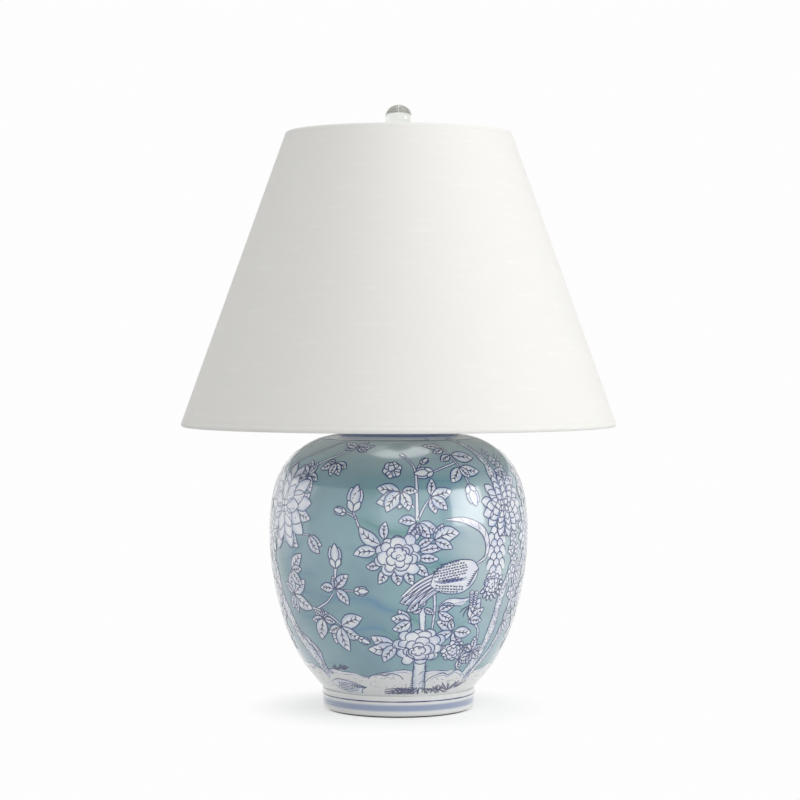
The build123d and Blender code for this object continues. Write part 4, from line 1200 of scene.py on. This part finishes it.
def foreground(picture):
    """Rocks, roots, grass and the small bird on the white bank."""
    rock(picture.at(31, 34, ROCK_LAYER), 46, 17)
    rock(picture.at(-8, 40, ROCK_LAYER), 34, 8)
    rock(picture.at(-62, 38, ROCK_LAYER), 40, 13)
    grass(picture.at(-38, 47, STEM_LAYER), 7, 9)
    grass(picture.at(-33, 48, STEM_LAYER), 7, 10)
    grass(picture.at(36, 26, STEM_LAYER), 7, 17)
    grass(picture.at(43, 28, STEM_LAYER), 6, 13)
    grass(picture.at(28, 26, STEM_LAYER), 6, 12)
    roots(picture.at(13.5, 29, STEM_LAYER), 32)
    hatching = picture.at(4, 25, STEM_LAYER)
    for number in range(7):
        right = number * 3.6
        hatching.stroke([(right - 18, -3), (right - 11, 2), (right - 6, 9)], 1.5, 0.0)
    for number in range(3):
        up = number * 2.6
        hatching.stroke([(-19, number * 3.4 - 1), (-4, up + 2), (10, up - 1)], 1.5, 0.0)
    quail = picture.at(-36, 30, LEAF_LAYER)
    back = spaced([(-19, 6), (-8, 10), (8, 7), (21, 1)], 2.4)
    belly = spaced([(-19, 6), (-15, -2), (0, -8), (12, -8), (14, -3), (21, 1)], 2.4)
    back, belly = paired(back, belly)
    quail.wash(back, belly, bleed=(0.7, 0.7))
    quail.stroke(back, 1.0, 0.15)
    quail.stroke(belly, 1.0, 0.15)
    speckles(quail, (1, 1), 27, 13, 2.7, tone=0.1)
    for number in range(4):
        quail.stroke([(6, 5 - number * 1.3), (14, 3 - number), (20, 1.2 - number * 0.3)], 0.8, 0.2)


def side_tree(turn, flip):
    """A flowering tree where the front's picture meets the back's."""
    edge = Picture(turn, flip)
    edge.trunk((-4, 40), (-1, 78), (4, 112), (-2, 148), (2, 184), (-3, 222), (0, 258), width=10, marks=4)
    edge.stem((1, 185), (9, 200), (14, 214), width=3.0)
    edge.stem((0, 152), (-9, 166), (-13, 176), width=3.0)
    edge.stem((3, 112), (11, 122), (15, 134), width=2.8)
    many_petals(edge.at(14, 222, BLOOM_LAYER), 40, 38)
    many_petals(edge.at(-12, 182, BLOOM_LAYER), 42, 44)
    peony(edge.at(15, 141, BLOOM_LAYER), 19)
    peony(edge.at(-13, 118, BLOOM_LAYER), 17)
    edge.spray(-9, 232, (160, 21), (204, 22), (120, 17), (250, 18), (40, 16))
    edge.spray(5, 248, (10, 19), (52, 18), (-30, 20), (110, 15))
    edge.spray(14, 186, (20, 19), (-30, 22), (-80, 20), (70, 15), (150, 14))
    edge.spray(-13, 150, (190, 18), (240, 19), (150, 17), (-70, 18), (-10, 14))
    edge.spray(11, 100, (30, 19), (-20, 22), (-70, 20), (160, 14))
    edge.spray(-9, 84, (200, 22), (150, 20), (245, 18), (100, 16))
    edge.spray(12, 68, (10, 20), (60, 17), (-50, 19), (130, 16))
    edge.bud(-16, 210, 120, 16)
    edge.bud(19, 168, 30, 15)
    edge.bud(-16, 94, 140, 14)
    edge.blossoms((-5, 205, 6), (8, 168, 6), (-7, 138, 5.5), (9, 128, 5), (4, 88, 6), (-14, 66, 6))
    rock(edge.at(-6, 36, ROCK_LAYER), 44, 13)
    grass(edge.at(10, 44, STEM_LAYER), 7, 10)


def paint_jar():
    """The front picture, its mirror at the back and the trees between them."""
    ground()
    for turn, flip in ((0, 1), (180, -1)):
        picture = Picture(turn, flip)
        right_trees(picture)
        left_branches(picture)
        lower_flowers(picture)
        foreground(picture)
        middle_flowers(picture)
        bird(picture)
    side_tree(90, 1)
    side_tree(270, -1)
    border_line(side, SHOULDER_RING, SHOULDER_RING_WIDTH, 0.1)
    border_line(foot_side, FOOT_RING, FOOT_RING_WIDTH, 0.15)
    washes.piece("painted_washes", white_wash())
    lines.piece("painted_lines", cobalt_line())


# ---------------------------------------------------------------- studio
CAMERA_AWAY = 2.39
CAMERA_HEIGHT = 0.361
CAMERA_ASIDE = 0.0014
CAMERA_DOWN = 1.3                 # degrees below level
LENS = 108.0

LIT_AT = Vector((0, 0, 0.25))
KEY_AT = Vector((1.57, -0.78, 0.64))
KEY_SIZE = (1.05, 0.8)
KEY_POWER = 8.8
FRONT_AT = Vector((0.40, -2.10, 1.20))
FRONT_SIZE = (2.4, 1.8)
FRONT_POWER = 9.6
FILL_AT = Vector((-1.75, 0.45, 0.60))
FILL_SIZE = (1.4, 1.6)
FILL_POWER = 3.3
TOP_AT = Vector((0.3, -0.2, 2.0))
TOP_SIZE = (1.8, 1.8)
TOP_POWER = 14.0
ROOM_LIGHT = 0.49
BACKDROP = 0.985
FLOOR_SIZE = 60.0
SHADOW_REACH = (0.072, 0.165)      # how far from the jar's middle the floor starts and ends turning plain


def add_camera():
    """The photograph's view: level with the shade's lower half and looking slightly down."""
    camera = bpy.data.objects.new("camera", bpy.data.cameras.new("camera"))
    camera.data.lens = LENS
    camera.location = (CAMERA_ASIDE, -CAMERA_AWAY, CAMERA_HEIGHT)
    camera.rotation_euler = (math.radians(90 - CAMERA_DOWN), 0, 0)
    bpy.context.scene.collection.objects.link(camera)
    bpy.context.scene.camera = camera


def add_softbox(name, at, size, power):
    """A soft rectangular lamp that faces the middle of the jar lamp."""
    light = bpy.data.lights.new(name, "AREA")
    light.shape, light.size, light.size_y, light.energy = "RECTANGLE", size[0], size[1], power
    lamp = bpy.data.objects.new(name, light)
    lamp.location = at
    lamp.rotation_euler = (LIT_AT - at).to_track_quat("-Z", "Y").to_euler()
    bpy.context.scene.collection.objects.link(lamp)
    return lamp


def seen_rays(finish):
    """1 for the rays that show a surface: from the camera, in a reflection and through glass."""
    path = finish.add("LightPath")
    rays = [Signal(finish, path.socket.node.outputs[name])
            for name in ("Is Camera Ray", "Is Glossy Ray", "Is Transmission Ray")]
    return rays[0].larger(rays[1]).larger(rays[2])


class WorldFinish(Finish):
    """The room's light, written in the same way as a material."""

    def __init__(self, world):
        world.use_nodes = True
        self.nodes, self.links = world.node_tree.nodes, world.node_tree.links
        self.nodes.clear()


def add_world():
    """Even light from all round, seen as a plain pale room."""
    world = bpy.data.worlds.new("room")
    bpy.context.scene.world = world
    room = WorldFinish(world)
    lit = room.add("Background", None, {"Color": (1, 1, 1, 1), "Strength": ROOM_LIGHT})
    seen = room.add("Background", None, {"Color": (1, 1, 1, 1), "Strength": BACKDROP})
    both = room.add("MixShader", None, {0: seen_rays(room), 1: lit, 2: seen})
    room.add("OutputWorld", None, {"Surface": both})


def add_floor():
    """A pale floor that keeps the shadow near the jar and turns plain further out."""
    finish = Finish("studio_floor")
    x, y, _ = finish.axes()
    away = (x * x + y * y).root()
    plain = finish.principled(Base_Color=(0.8, 0.8, 0.8, 1), Roughness=1.0, Specular_IOR_Level=0.0)
    near = finish.principled(Base_Color=(0.58, 0.58, 0.58, 1), Roughness=1.0, Specular_IOR_Level=0.0,
                             Emission_Color=(1, 1, 1, 1), Emission_Strength=0.5)
    far = finish.add("Emission", None, {"Color": (1, 1, 1, 1), "Strength": BACKDROP})
    shown = finish.add("MixShader", None, {0: away.step(*SHADOW_REACH), 1: near, 2: far})
    finish.show(finish.add("MixShader", None, {0: seen_rays(finish), 1: plain, 2: shown}))
    half = FLOOR_SIZE / 2
    mesh = bpy.data.meshes.new("floor")
    corners = [(-half, -half, 0), (half, -half, 0), (half, half, 0), (-half, half, 0)]
    mesh.from_pydata(corners, [], [(0, 1, 2, 3)])
    mesh.materials.append(finish.material)
    floor = bpy.data.objects.new("floor", mesh)
    bpy.context.scene.collection.objects.link(floor)


# ---------------------------------------------------------------- putting it together
finish_cad_nodes()
shade_cloth()
paint_jar()
add_camera()
add_world()
add_floor()
add_softbox("key", KEY_AT, KEY_SIZE, KEY_POWER)
add_softbox("front", FRONT_AT, FRONT_SIZE, FRONT_POWER)
add_softbox("fill", FILL_AT, FILL_SIZE, FILL_POWER)
add_softbox("overhead", TOP_AT, TOP_SIZE, TOP_POWER)
bpy.context.scene.view_settings.view_transform = "Standard"
